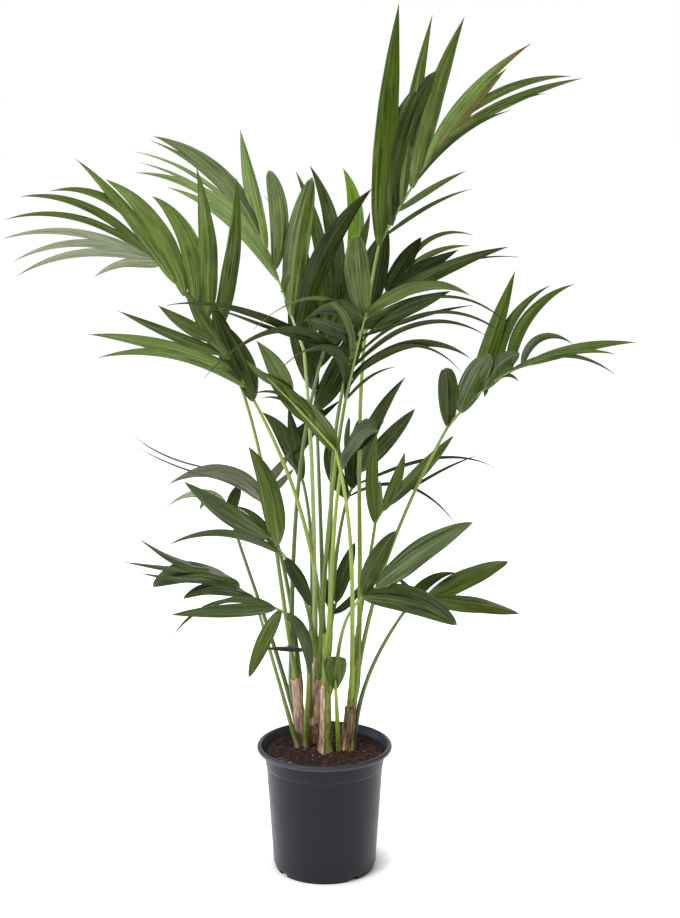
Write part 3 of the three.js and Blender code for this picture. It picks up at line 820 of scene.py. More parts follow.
@dataclass(frozen=True)
class Pot:
    """A tapered plastic shell with a thick rim, a collar and a notched foot."""

    rim_height: float = 230
    rim_radius: float = 120
    rim_inside: float = 113
    rim_thickness: float = 10
    collar_radius: float = 108.5
    collar_foot_radius: float = 104.8
    collar_bottom: float = 194
    wall_top_radius: float = 103.5
    foot_radius: float = 91
    foot_height: float = 12
    underside_radius: float = 87.5
    wall: float = 2.4
    notch_height: float = 8
    notch_inner_radius: float = 80.5
    notch_count: int = 4
    first_notch: float = 35
    steps: int = 144
    notch_steps: int = 5
    ledge: float = 0.9
    edge_round: float = 0.8
    corner_round: float = 1.2
    bead_round: float = 4.2
    lip_round: float = 3.0
    hollow_round: float = 2.0

    def notch_half(self) -> float:
        """Half the angle that a notch takes, in degrees."""
        return 180 / self.steps * self.notch_steps

    def outline(self) -> bmesh.types.BMesh:
        """Profile of the shell, up the outside first and back down the inside.

        Returns:
            The outline, from the axis to the axis.
        """
        wall = self.wall
        collar_top = self.rim_height - self.rim_thickness
        notch_share = self.notch_height / self.foot_height
        notch_radius = lerp(self.underside_radius, self.foot_radius, notch_share)
        points = [
            (0, 0),
            (self.notch_inner_radius, 0),
            (self.underside_radius, 0, self.edge_round),
            (notch_radius, self.notch_height),
            (self.foot_radius, self.foot_height),
            (self.foot_radius + self.ledge, self.foot_height + self.ledge),
            (self.wall_top_radius, self.collar_bottom - wall, self.edge_round),
            (self.collar_foot_radius, self.collar_bottom, self.edge_round),
            (self.collar_radius, collar_top, self.corner_round),
            (self.rim_radius, collar_top, self.bead_round),
            (self.rim_radius, self.rim_height, self.bead_round),
            (self.rim_inside, self.rim_height, self.lip_round),
            (self.collar_radius - wall, collar_top - wall, self.hollow_round),
            (self.collar_foot_radius - wall, self.collar_bottom + wall),
            (self.wall_top_radius - wall, self.collar_bottom - wall),
            (self.foot_radius - wall, self.foot_height),
            (notch_radius - wall, self.notch_height),
            (self.underside_radius - wall, wall),
            (self.notch_inner_radius, wall),
            (0, wall),
        ]
        return wire(points)

    def cut_notches(self, form: Form) -> None:
        """Open the drainage notches through wall and floor, and line their edges.

        Args:
            form: The pot's shell.
        """
        bm = form.bm
        pitch = 360 / self.notch_count
        opened: dict[int, list[bmesh.types.BMFace]] = {}
        for face in bm.faces:
            middle = face.calc_center_median()
            turn = math.degrees(math.atan2(middle.y, middle.x)) - self.first_notch
            number = round(turn / pitch)
            low = middle.z < self.notch_height
            outer = math.hypot(middle.x, middle.y) > self.notch_inner_radius
            if low and outer and abs(turn - number * pitch) < self.notch_half():
                opened.setdefault(number % self.notch_count, []).append(face)
        for faces in opened.values():
            rim = {edge for face in faces for edge in face.edges}
            bmesh.ops.delete(bm, geom=faces, context="FACES_ONLY")
            loops = [edge for edge in rim if edge.is_valid and edge.is_boundary]
            sides = bmesh.ops.bridge_loops(bm, edges=loops)["faces"]
            form.wear(sides, Plastic.BODY.value)
        spare = [edge for edge in bm.edges if edge.is_wire]
        bmesh.ops.delete(bm, geom=spare, context="EDGES")
        loose = [vert for vert in bm.verts if not vert.link_faces]
        bmesh.ops.delete(bm, geom=loose, context="VERTS")

    def faces_inward(self, face: bmesh.types.BMFace) -> bool:
        """Whether a face belongs to the wall's inside, below the rim.

        Args:
            face: A face of the shell.

        Returns:
            Whether it lies low enough and looks towards the axis.
        """
        least_lean = 0.3
        middle = face.calc_center_median()
        lower = middle.z < self.rim_height - self.rim_thickness / 2
        return lower and face.normal.dot(middle.xy.to_3d().normalized()) < -least_lean

    def on_rim(self, face: bmesh.types.BMFace) -> bool:
        """Whether a face belongs to the bead of the rim."""
        return face.calc_center_median().z > self.rim_height - self.rim_thickness

    def build(self) -> None:
        """Make the pot's piece."""
        form = Form()
        first_face = self.first_notch - self.notch_half()
        form.lathe(self.outline(), self.steps, first_face, Plastic.BODY.value)
        inside = [face for face in form.bm.faces if self.faces_inward(face)]
        form.wear(inside, Plastic.LINING.value)
        # The bead wears the lighter rim plastic, a painted highlight.
        form.wear([face for face in form.bm.faces if self.on_rim(face)], Plastic.RIM.value)
        self.cut_notches(form)
        made = form.piece("nursery_pot", "pot_plastic", ["pot"])
        sharp = made.modifiers.new("edges", "WEIGHTED_NORMAL")
        sharp.keep_sharp = True


@dataclass(frozen=True)
class Soil:
    """Peat that fills the pot, with crumbs, root fibres and bark chips on its top."""

    pot: Pot
    level: float = SOIL_LEVEL
    edge_heap: float = 4.5
    mound: float = 4.5
    mound_radius: float = 72
    shoulder_radius: float = 84
    steps: int = 120
    rings: int = 26
    clod_size: float = 16
    clod_height: float = 2.6
    grit_size: float = 5
    grit_height: float = 1.6
    relief: float = 0.9
    settling: float = 1.0
    crumb_count: int = 1500
    crumb_size: float = 0.9
    crumb_growth: float = 2.9
    fibre_count: int = 150
    fibre_bends: int = 6
    chip_count: int = 44
    chip_thickness: float = 0.7
    chip_lift: float = 1.2

    def top_radius(self) -> float:
        """Radius of the bed where it meets the pot's wall.

        Returns:
            The radius, clear of the wall.
        """
        pot = self.pot
        collar_height = pot.rim_height - pot.rim_thickness - pot.collar_bottom
        share = (self.level - pot.collar_bottom) / collar_height
        return lerp(pot.collar_foot_radius, pot.collar_radius, share) - pot.wall - GAP

    def height(self, x: float, y: float) -> float:
        """Height of the bed's surface, with its clods and hollows.

        Args:
            x: Place along X.
            y: Place along Y.

        Returns:
            The height there.
        """
        radius = math.hypot(x, y)
        heaped = smooth(self.shoulder_radius, self.top_radius(), radius)
        mound = self.mound * (1 - smooth(0.5, 1.0, radius / self.mound_radius))
        clods = noise.noise(Vector((x, y, 7.0)) / self.clod_size) * self.clod_height
        grit = noise.noise(Vector((x, y, 31.0)) / self.grit_size) * self.grit_height
        rough = (clods + grit) * self.relief
        return self.level - self.settling + mound + heaped * self.edge_heap + rough

    def build_bed(self) -> None:
        """Make the closed body of the filling, with relief on its top."""
        pot = self.pot
        inner = pot.wall + GAP
        edge = self.top_radius()
        points = [
            (0.0, inner),
            (pot.underside_radius - inner, inner),
            (pot.foot_radius - inner, pot.foot_height),
            (pot.wall_top_radius - inner, pot.collar_bottom - pot.wall),
            (pot.collar_foot_radius - inner, pot.collar_bottom + pot.wall),
        ]
        points += [(edge * (1 - ring / self.rings), self.level) for ring in range(self.rings + 1)]
        form = Form()
        form.lathe(wire(points), self.steps, 0.0, Earth.PEAT.value)
        for vert in form.bm.verts:
            if vert.co.z > self.level - self.settling:
                vert.co.z = self.height(vert.co.x, vert.co.y)
        form.piece("soil_bed", "soil", ["soil"])

    def spot(self, rng: random.Random, margin: float) -> Vector:
        """A random place on the bed.

        Args:
            rng: Where the randomness comes from.
            margin: Least distance to the wall.

        Returns:
            The place, on the surface; such places are spread evenly.
        """
        reach = (self.top_radius() - margin) * math.sqrt(rng.random())
        turn = rng.uniform(0, math.tau)
        x, y = reach * math.cos(turn), reach * math.sin(turn)
        return Vector((x, y, self.height(x, y)))

    def build_crumbs(self) -> None:
        """Make the lumps of peat that lie on the bed."""
        rng = random.Random(11)
        form = Form()
        for _ in range(self.crumb_count):
            size = self.crumb_size + self.crumb_growth * rng.random() ** 3
            place = self.spot(rng, margin=5)
            turn = Matrix.Rotation(rng.uniform(0, math.tau), 4, "Z")
            squash = (size * rng.uniform(0.7, 1.4), size, size * rng.uniform(0.5, 0.9), 1)
            form.lump(place, turn @ Matrix.Diagonal(squash), fineness=1, raggedness=0.7)
        form.wear(form.bm.faces, Earth.CRUMB.value)
        form.piece("peat_crumbs", "soil")

    def build_fibres(self) -> None:
        """Make the thin root fibres that curl over the bed."""
        rng = random.Random(23)
        form = Form()
        bends = self.fibre_bends
        lowest, arch = 0.6, 1.6
        thinning = 0.6
        for _ in range(self.fibre_count):
            place = self.spot(rng, margin=16)
            heading = rng.uniform(0, math.tau)
            curl = rng.uniform(-0.5, 0.5)
            pace = rng.uniform(1.4, 4.2)
            girth = rng.uniform(0.22, 0.5)
            stations = []
            for bend in range(bends + 1):
                along = bearing(heading)
                lift = lowest + arch * math.sin(math.pi * bend / bends)
                height = self.height(place.x, place.y) + lift
                centre = Vector((place.x, place.y, height))
                sides = UP.cross(along)
                taper = girth * (1 - thinning * bend / bends)
                stations.append(Station(centre, sides, along.cross(sides), taper, 0, 0))
                place += along * pace
                heading += curl
            form.sweep(stations, sides=4, finish=Earth.FIBRE.value)
        form.piece("root_fibres", "soil")

    def build_chips(self) -> None:
        """Make the flat, pale chips of bark."""
        rng = random.Random(37)
        form = Form()
        for _ in range(self.chip_count):
            place = self.spot(rng, margin=12) + UP * self.chip_lift
            length = rng.uniform(1.6, 5.0)
            tilt = Matrix.Rotation(rng.uniform(-0.5, 0.5), 4, "X")
            turn = Matrix.Rotation(rng.uniform(0, math.tau), 4, "Z")
            squash = (length, length * rng.uniform(0.25, 0.6), self.chip_thickness, 1)
            shape = turn @ tilt @ Matrix.Diagonal(squash)
            form.lump(place, shape, fineness=2, raggedness=0.5)
        form.wear(form.bm.faces, Earth.CHIP.value)
        for face in form.bm.faces:
            face.smooth = False
        form.piece("bark_chips", "soil")

    def build(self) -> None:
        """Make the filling and what lies on it."""
        for step in (self.build_bed, self.build_crumbs, self.build_fibres, self.build_chips):
            step()


# --------------------------------------------------------------------------------- stems


@dataclass(frozen=True)
class Sheath:
    """A dry leaf base wrapped part of the way round a stem.

    facing is the angle that its middle faces, 270 being the front, and wrap how far round it
    goes. bottom and top are its heights over the soil, slack is how far it stands off the stem,
    and tear how much more or less its top reaches at its two edges.
    """

    facing: float
    wrap: float
    bottom: float
    top: float
    slack: float
    tear: float
    tone: SheathTone


@dataclass(frozen=True)
class Stem:
    """A short leaning stem with a flared foot, wrapped in the sheaths of old leaves."""

    name: str
    foot: tuple[float, float]
    top: Triple
    flare: float
    low: float
    high: float
    sheaths: tuple[Sheath, ...]
    flare_height: float = 35
    core_inset: float = 0.6
    scar_pitch: float = 27
    scar_slant: float = 6
    scar_height: float = 0.9
    scar_foot: float = 0.3
    furrow_height: float = 0.3
    furrow_fineness: float = 3
    furrow_length: float = 60
    sheath_thickness: float = 0.9
    sheath_columns: int = 36
    sheath_rows: int = 44
    tear_roughness: float = 5
    tear_fineness: float = 6
    wrinkle_height: float = 0.9
    wrinkle_fineness: float = 4
    wrinkle_length: float = 22
    edge_roll: float = 1.4
    top_roll: float = 1.2
    strands: int = 12
    strand_bends: int = 12
    strand_wobble: float = 0.5
    strand_taper: float = 0.5

    def centre(self, height: float) -> Vector:
        """Middle of the stem at a height over the soil."""
        foot = Vector((*self.foot, SOIL_LEVEL + GAP))
        return foot.lerp(Vector(self.top), height / self.length())

    def length(self) -> float:
        """Height of the stem's top over the soil."""
        return self.top[2] - SOIL_LEVEL - GAP

    def radius(self, height: float) -> float:
        """Radius, which tapers above a flared foot.

        Args:
            height: Height over the soil.

        Returns:
            The radius there.
        """
        taper = lerp(self.low, self.high, height / self.length())
        spreading = max(0.0, 1 - max(0.0, height) / self.flare_height)
        return taper + (self.flare - self.low) * spreading**2

    def surface(self, turn: float, height: float, slack: float) -> Vector:
        """Point at an angle and a height over the soil, with some slack over the skin."""
        return self.centre(height) + bearing(turn) * (self.radius(height) + slack)

    def skin(self, turn: float, station: Station) -> float:
        """Relief of the skin: leaf scars that run round it aslant, and furrows.

        Args:
            turn: Angle in radians.
            station: Section of the stem.

        Returns:
            Height over the round section.
        """
        height = station.length + self.scar_slant * math.sin(turn)
        scar = (height % self.scar_pitch) / self.scar_pitch
        step = self.scar_height * scar**6 - self.scar_foot
        fine = self.furrow_fineness
        place = Vector((fine * math.cos(turn), fine * math.sin(turn), height / self.furrow_length))
        return step + self.furrow_height * noise.noise(place)

    def build_core(self) -> None:
        """Make the stem itself."""
        rings = 48
        axes = (Vector((1, 0, 0)), Vector((0, 1, 0)))
        form = Form()
        stations = []
        for ring in range(rings + 1):
            height = lerp(0, self.length(), ring / rings)
            radius = self.radius(height) - self.core_inset
            stations.append(Station(self.centre(height), *axes, radius, ring / rings, height))
        form.sweep(stations, sides=32, finish=SheathTone.STEM.value, relief=self.skin)
        form.piece(f"trunk_{self.name}", "stem", [f"stem_{self.name}"])

    def build_sheath(self, number: int, sheath: Sheath) -> None:
        """Make one sheath, torn aslant along its top.

        Args:
            number: Its place among the stem's sheaths, from 1.
            sheath: Its sizes and its finish.
        """
        half = math.radians(sheath.wrap / 2)
        middle = math.radians(sheath.facing)

        def shape(across: float, far: float) -> tuple[Vector, Vector]:
            """Point of the sheath's outside.

            Args:
                across: Place round the sheath, -1 to 1.
                far: Place up it, 0 to 1.

            Returns:
                The point and the direction out of the sheath.
            """
            turn = middle + across * half
            ragged = noise.noise(Vector((across * self.tear_fineness, number, 1.5)))
            end = sheath.top + (sheath.tear * across + self.tear_roughness * ragged) * far
            height = lerp(sheath.bottom, end, far)
            place = (self.wrinkle_fineness * turn, height / self.wrinkle_length, number)
            rolled = self.edge_roll * abs(across) ** 5 + self.top_roll * smooth(0.9, 1.0, far)
            slack = sheath.slack + self.wrinkle_height * noise.noise(Vector(place)) + rolled
            return self.surface(turn, height, slack), bearing(turn)

        def grain(across: float, far: float) -> Triple:
            """Grain of the sheath, which differs from sheath to sheath."""
            height = lerp(sheath.bottom, sheath.top, far)
            return (across * half * 1.5, number * 3.7, height)

        form = Form()
        grid = (self.sheath_columns, self.sheath_rows)
        form.sheet(*grid, shape, self.sheath_thickness, grain, sheath.tone.value)
        form.piece(f"sheath_{self.name}_{number}", "stem")

    def build_strands(self) -> None:
        """Make the coarse fibres that cross the stem's foot aslant."""
        rng = random.Random(sum(map(ord, self.name)))
        form = Form()
        bends = self.strand_bends
        loosest = max(sheath.slack for sheath in self.sheaths)
        for _ in range(self.strands):
            turn = rng.uniform(0, math.tau)
            height = rng.uniform(-2, 22)
            climb = rng.uniform(26, 60) / bends
            swing = rng.choice((-1, 1)) * rng.uniform(0.8, 1.9) / bends
            girth = rng.uniform(0.35, 0.75)
            slack = loosest + rng.uniform(0.4, 1.4)
            points = []
            for bend in range(bends + 1):
                wobble = self.strand_wobble * math.sin(bend + turn)
                points.append(self.surface(turn, height, slack + wobble))
                turn += swing
                height += climb
            stations = []
            for bend, point in enumerate(points):
                before, after = points[max(0, bend - 1)], points[min(bends, bend + 1)]
                along = (after - before).normalized()
                across = UP.cross(along).normalized()
                taper = girth * (1 - self.strand_taper * bend / bends)
                normal = along.cross(across)
                stations.append(Station(point, across, normal, taper, bend / bends, bend))
            form.sweep(stations, sides=5, finish=Earth.FIBRE.value)
        form.piece(f"strands_{self.name}", "stem")

    def build(self) -> None:
        """Make the stem, its sheaths and its strands."""
        self.build_core()
        for number, sheath in enumerate(self.sheaths, start=1):
            self.build_sheath(number, sheath)
        self.build_strands()


# -------------------------------------------------------------------------------- fronds


@dataclass(frozen=True)
class Side:
    """The leaflets on one side of a rib, listed from its base to its tip.

    There is one leaflet for each length. Shorter lists are spread over them. angle lies between
    leaflet and rib, droop is the bend under its own weight, bow the degrees that it curves back
    towards the rib, and start and end are the part of the rib that carries them. point is how
    slowly a leaflet runs out to its tip: less than 1 makes it blunt.
    """

    angle: tuple[float, ...]
    length: tuple[float, ...]
    width: tuple[float, ...]
    droop: tuple[float, ...]
    bow: tuple[float, ...]
    start: float
    end: float
    tones: tuple[LeafTone, ...]
    point: tuple[float, ...] = (1.0,)

    def tone(self, place: float) -> LeafTone:
        """Green of the leaflet at a place, 0 to 1, along the side."""
        return self.tones[min(int(place * len(self.tones)), len(self.tones) - 1)]


@dataclass(frozen=True)
class Leaflet:
    """One leaflet: its middle line, with the heading and the direction across at each step."""

    points: tuple[Vector, ...]
    headings: tuple[Vector, ...]
    wides: tuple[Vector, ...]
    normal: Vector
    length: float
    width: float
    point: float
    tone: LeafTone
    seed: int
    steps: int = 30
    columns: int = 16
    thickness: float = 0.7
    root_share: float = 0.012
    root_power: float = 0.6
    narrowest: float = 0.3
    root_fold: float = 0.85
    blade_fold: float = 0.2
    fold_end: float = 0.3
    roof_power: float = 1.25
    pleats: int = 2
    pleat_height: float = 0.022
    ripple_height: float = 0.05
    ripple_pitch: float = 15
    midrib_height: float = 0.35
    midrib_sharpness: float = 9
    twist: float = 0.22
    seed_phase: float = 1.7
    seed_grain: float = 3.1

    def swell(self, far: float) -> float:
        """Relative width at a share of the length."""
        return (far + self.root_share) ** self.root_power * max(0.0, 1 - far) ** self.point

    def outline(self, far: float) -> float:
        """Half the width of the blade.

        Args:
            far: Share of the length.

        Returns:
            Half the width there.
        """
        fullest = self.root_power - self.root_share * self.point
        fullest /= self.root_power + self.point
        return max(self.narrowest, 0.5 * self.width * self.swell(far) / self.swell(fullest))

    def shape(self, across: float, far: float) -> tuple[Vector, Vector]:
        """Point of the upper skin, with the direction out of it.

        The blade is folded like a roof, sharply at its root and gently further on, with low
        pleats between its veins, rippled edges and a slight twist towards its tip.

        Args:
            across: Place across the blade, -1 to 1.
            far: Place along it, 0 to 1.

        Returns:
            The point and the direction.
        """
        step = round(far * self.steps)
        point, heading, wide = self.points[step], self.headings[step], self.wides[step]
        high = wide.cross(heading)
        if high.dot(self.normal) < 0:
            across, wide, high = -across, -wide, -high
        phase = self.seed * self.seed_phase
        twist = self.twist * math.sin(phase) * far * far
        wide, high = (
            wide * math.cos(twist) + high * math.sin(twist),
            high * math.cos(twist) - wide * math.sin(twist),
        )
        half = self.outline(far)
        distance = abs(across)
        fold = lerp(self.root_fold, self.blade_fold, smooth(0.0, self.fold_end, far))
        roof = half * fold * (1 - distance**self.roof_power)
        pleat = self.pleat_height * half * math.cos(math.tau * self.pleats * distance)
        wave = math.sin(far * self.length / self.ripple_pitch + phase)
        ripple = self.ripple_height * half * distance**3 * wave
        crest = max(0.0, 1 - self.midrib_sharpness * distance) * (1 - far)
        lift = roof + pleat + ripple + self.midrib_height * crest
        return point + wide * (across * half) + high * lift, high

    def grain(self, across: float, far: float) -> Triple:
        """Grain at a place, which differs from leaflet to leaflet."""
        return (across, self.seed * self.seed_grain, far * self.length)

    def add(self, form: Form) -> None:
        """Add the leaflet to a frond's mesh."""
        grid = (self.columns, self.steps)
        form.sheet(*grid, self.shape, self.thickness, self.grain, self.tone.value)


@dataclass(frozen=True)
class Frond:
    """A petiole and the blade that it carries.

    foot is the petiole's foot, base and tip are the rib's ends, and lift raises its middle. rise
    says how upright the petiole leaves its foot and enter how far it turns into the rib's own
    direction. roll turns the blade about its rib.
    """

    name: str
    foot: Triple
    base: Triple
    tip: Triple
    rise: float
    enter: float
    lift: float
    roll: float
    left: Side
    right: Side
    stalk: StalkTone
    petiole_radii: tuple[float, float] = (4.6, 2.8)
    rib_radii: tuple[float, float] = (2.8, 1.5)
    first_reach: float = 0.36
    last_reach: float = 0.32
    droop_power: float = 1.4
    root_sink: float = 1.5
    clasp: float = 90.0
    clasp_thinning: float = 0.45
    foot_swell: float = 0.14
    foot_reach: float = 40.0
    channel_depth: float = 0.22
    channel_edge: float = 0.55
    ridge_height: float = 0.12
    ridge_fineness: float = 2.5
    ridge_length: float = 90

    def bend(self) -> Vector:
        """The point that the rib's curve is drawn towards."""
        return (Vector(self.base) + Vector(self.tip)) / 2 + UP * self.lift

    def rib(self, share: float) -> Vector:
        """Point at a share of the rib."""
        base, bend, tip = Vector(self.base), self.bend(), Vector(self.tip)
        return base.lerp(bend, share).lerp(bend.lerp(tip, share), share)

    def rib_heading(self, share: float) -> Vector:
        """Direction of the rib at a share of it."""
        base, bend, tip = Vector(self.base), self.bend(), Vector(self.tip)
        return (bend - base).lerp(tip - bend, share).normalized()

    def rib_length(self) -> float:
        """Length of the rib, near enough, by its chords.

        Returns:
            The length.
        """
        chords = 16
        points = [self.rib(count / chords) for count in range(chords + 1)]
        return sum((after - before).length for before, after in zip(points, points[1:]))

    def reach(self) -> float:
        """Distance from the petiole's foot to the rib's base."""
        return (Vector(self.base) - Vector(self.foot)).length

    def petiole_posts(self) -> tuple[Vector, Vector, Vector, Vector]:
        """The four points that draw the petiole's curve.

        Returns:
            Its foot, the point that it leaves towards, the one that it comes from, and its end.
        """
        foot, base = Vector(self.foot), Vector(self.base)
        length = self.reach()
        chord = (base - foot).normalized()
        leave = chord.lerp(UP, self.rise).normalized() * length * self.first_reach
        enter = chord.lerp(self.rib_heading(0), self.enter).normalized()
        return foot, foot + leave, base - enter * length * self.last_reach, base

    def level(self) -> Vector:
        """Horizontal direction across the frond.

        Returns:
            The direction, towards the right of a frond that points away.
        """
        heading = Vector(self.tip) - Vector(self.base)
        heading.z = 0
        return heading.normalized().cross(UP)

    def blade_axes(self, share: float) -> tuple[Vector, Vector, Vector]:
        """Directions along, across and out of the blade.

        Args:
            share: Share of the rib.

        Returns:
            The three directions there.
        """
        along = self.rib_heading(share)
        level = square_to(along, self.level())
        upward = level.cross(along)
        roll = math.radians(self.roll)
        across = level * math.cos(roll) + upward * math.sin(roll)
        return along, across, across.cross(along)

    def leaflet(self, side: Side, sign: int, index: int) -> Leaflet:
        """Lay out one leaflet.

        Args:
            side: The side that it is on.
            sign: -1 for the left side, 1 for the right.
            index: Its place on the side, from the base.

        Returns:
            The leaflet.
        """
        count = len(side.length)
        place = index / (count - 1) if count > 1 else 0.0
        share = lerp(side.start, side.end, place)
        along, across, normal = self.blade_axes(share)
        outward = across * sign
        angle = math.radians(spread(side.angle, place))
        bow = math.radians(spread(side.bow, place))
        wide = along * math.sin(angle) - outward * math.cos(angle)
        length = side.length[index]
        droop = spread(side.droop, place)

        def heading_at(far: float) -> Vector:
            """Direction of the leaflet before it droops."""
            turn = angle + bow * (0.5 - far)
            return along * math.cos(turn) + outward * math.sin(turn)

        start = heading_at(0)
        points = [self.rib(share) - start * self.root_sink]
        headings = [start]
        wides = [wide]
        for step in range(1, Leaflet.steps + 1):
            far = (step - 0.5) / Leaflet.steps
            onward = (heading_at(far) - UP * droop * far**self.droop_power).normalized()
            points.append(points[-1] + onward * (length / Leaflet.steps))
            headings.append(onward)
            wides.append(square_to(onward, wide))
        line = (tuple(points), tuple(headings), tuple(wides))
        seed = sum(map(ord, self.name)) + 20 * (sign + 1) + index
        size = (length, spread(side.width, place), spread(side.point, place))
        return Leaflet(*line, normal, *size, side.tone(place), seed)

    def stations(
        self,
        curve: Callable[[float], Vector],
        radius: Callable[[float, float], float],
        shares: Sequence[float],
    ) -> list[Station]:
        """Sections of a limb along a curve.

        Args:
            curve: Point at a share.
            radius: Radius at a share and at the length run from the first section.
            shares: Where the sections are.

        Returns:
            The sections.
        """
        level = self.level()
        nudge = 0.004
        made = []
        run = 0.0
        before = curve(shares[0])
        for share in shares:
            centre = curve(share)
            run += (centre - before).length
            before = centre
            along = (curve(share + nudge) - curve(share - nudge)).normalized()
            across = square_to(along, level)
            normal = along.cross(across)
            made.append(Station(centre, across, normal, radius(share, run), share, run))
        return made

    def petiole(self, share: float) -> Vector:
        """Point of the petiole.

        Args:
            share: Share of its length; below 0 it runs down into the stem under it.

        Returns:
            The point.
        """
        first, second, third, fourth = self.petiole_posts()
        if share < 0:
            sink = share * (fourth - first).length
            centre = self.carrier_centre(first.z + sink)
            above = first + (second - first).normalized() * sink
            return above.lerp(centre, smooth(0.0, -self.clasp, sink))
        low, middle, high = (
            first.lerp(second, share),
            second.lerp(third, share),
            third.lerp(fourth, share),
        )
        return low.lerp(middle, share).lerp(middle.lerp(high, share), share)

    def carrier_centre(self, height: float) -> Vector:
        """Middle of the stem that the petiole stands on.

        Args:
            height: Height over the floor.

        Returns:
            The middle there.
        """
        foot = Vector(self.foot)
        stem = min(STEMS, key=lambda each: (each.centre(foot.z - SOIL_LEVEL) - foot).length)
        return stem.centre(height - SOIL_LEVEL)

    def on_stem(self) -> bool:
        """Whether the petiole stands on a stem and not in the soil."""
        return self.foot[2] > SOIL_LEVEL

    def petiole_radius(self, share: float, run: float) -> float:
        """Radius of the petiole, which swells at its foot and thins where it clasps the stem.

        Args:
            share: Share of its length.
            run: Length run from its lowest section.

        Returns:
            The radius there.
        """
        reach = self.reach() * max(0.0, share)
        sunk = smooth(self.clasp, 0.0, run) if self.on_stem() else 0.0
        plain = lerp(*self.petiole_radii, max(0.0, share))
        radius = plain * (1 - self.clasp_thinning * sunk)
        return radius * (1 + self.foot_swell * math.exp(-reach / self.foot_reach))

    def channel(self, turn: float, station: Station) -> float:
        """Relief of a petiole or rib: a shallow channel above, and fine ridges.

        Args:
            turn: Angle in radians, a quarter turn being its upper side.
            station: Section of the limb.

        Returns:
            Height over the round section.
        """
        above, fine = math.sin(turn), self.ridge_fineness
        groove = -self.channel_depth * station.radius * smooth(self.channel_edge, 1.0, above)
        place = Vector((fine * math.cos(turn), fine * above, station.length / self.ridge_length))
        return groove + self.ridge_height * station.radius * noise.noise(place)

    def build_stalk(self) -> None:
        """Make the petiole."""
        rings = 44
        first = -self.clasp / self.reach() if self.on_stem() else 0.0
        shares = [lerp(first, 1, ring / rings) for ring in range(rings + 1)]
        form = Form()
        stations = self.stations(self.petiole, self.petiole_radius, shares)
        form.sweep(stations, sides=14, finish=self.stalk.value, relief=self.channel)
        form.piece(f"stalk_{self.name}", "petiole", [f"petiole_{self.name}"])

    def build_blade(self) -> None:
        """Make the rib with its two fans of leaflets."""
        form = Form()
        rings = 16
        finish = RibTone[self.stalk.name].value
        first = GAP / self.rib_length()
        shares = [lerp(first, 1, ring / rings) for ring in range(rings + 1)]
        stations = self.stations(self.rib, lambda share, _: lerp(*self.rib_radii, share), shares)
        form.sweep(stations, sides=10, finish=finish, relief=self.channel)
        for side, sign in ((self.left, -1), (self.right, 1)):
            for index in range(len(side.length)):
                self.leaflet(side, sign, index).add(form)
        form.piece(f"blade_{self.name}", "frond", [f"frond_{self.name}"])

    def build(self) -> None:
        """Make the frond's two pieces."""
        self.build_stalk()
        self.build_blade()


POT = Pot()
SOIL = Soil(POT)
STEMS = (
    Stem(
        "left", foot=(-40, 36), top=(-53, 34, 352), flare=12.6, low=10, high=7,
        sheaths=(
            Sheath(262, 250, -3, 128, 0.8, 7, SheathTone.ROSY),
            Sheath(300, 210, -3, 22, 1.9, -9, SheathTone.BROWN),
        ),
    ),
    Stem(
        "rear", foot=(-18, 52), top=(-9, 53, 410), flare=14, low=11, high=7.5,
        sheaths=(
            Sheath(285, 240, -3, 122, 0.8, 3, SheathTone.ROSY),
            Sheath(208, 60, 112, 190, 0.5, 14, SheathTone.ROSY),
            Sheath(250, 230, -3, 38, 1.9, 10, SheathTone.BROWN),
        ),
    ),
    Stem(
        "middle", foot=(2, 0), top=(4, 2, 432), flare=14.5, low=11.5, high=7.5,
        sheaths=(
            Sheath(190, 140, -3, 118, 0.6, 12, SheathTone.ROSY),
            Sheath(110, 150, -3, 60, 1.6, 8, SheathTone.BROWN),
        ),
    ),
    Stem(
        "right", foot=(40, 12), top=(51, 13, 352), flare=13, low=10, high=7,
        sheaths=(
            Sheath(245, 190, -3, 84, 0.9, 5, SheathTone.BROWN),
            Sheath(318, 80, 66, 172, 0.5, 16, SheathTone.BROWN),
            Sheath(190, 120, -3, 44, 2.0, -6, SheathTone.ROSY),
        ),
    ),
)
FRESH, MID, DEEP, SHADE, SUNLIT, LUSH, COOL, GREY, PALE, SCORCHED, DRIED = LeafTone
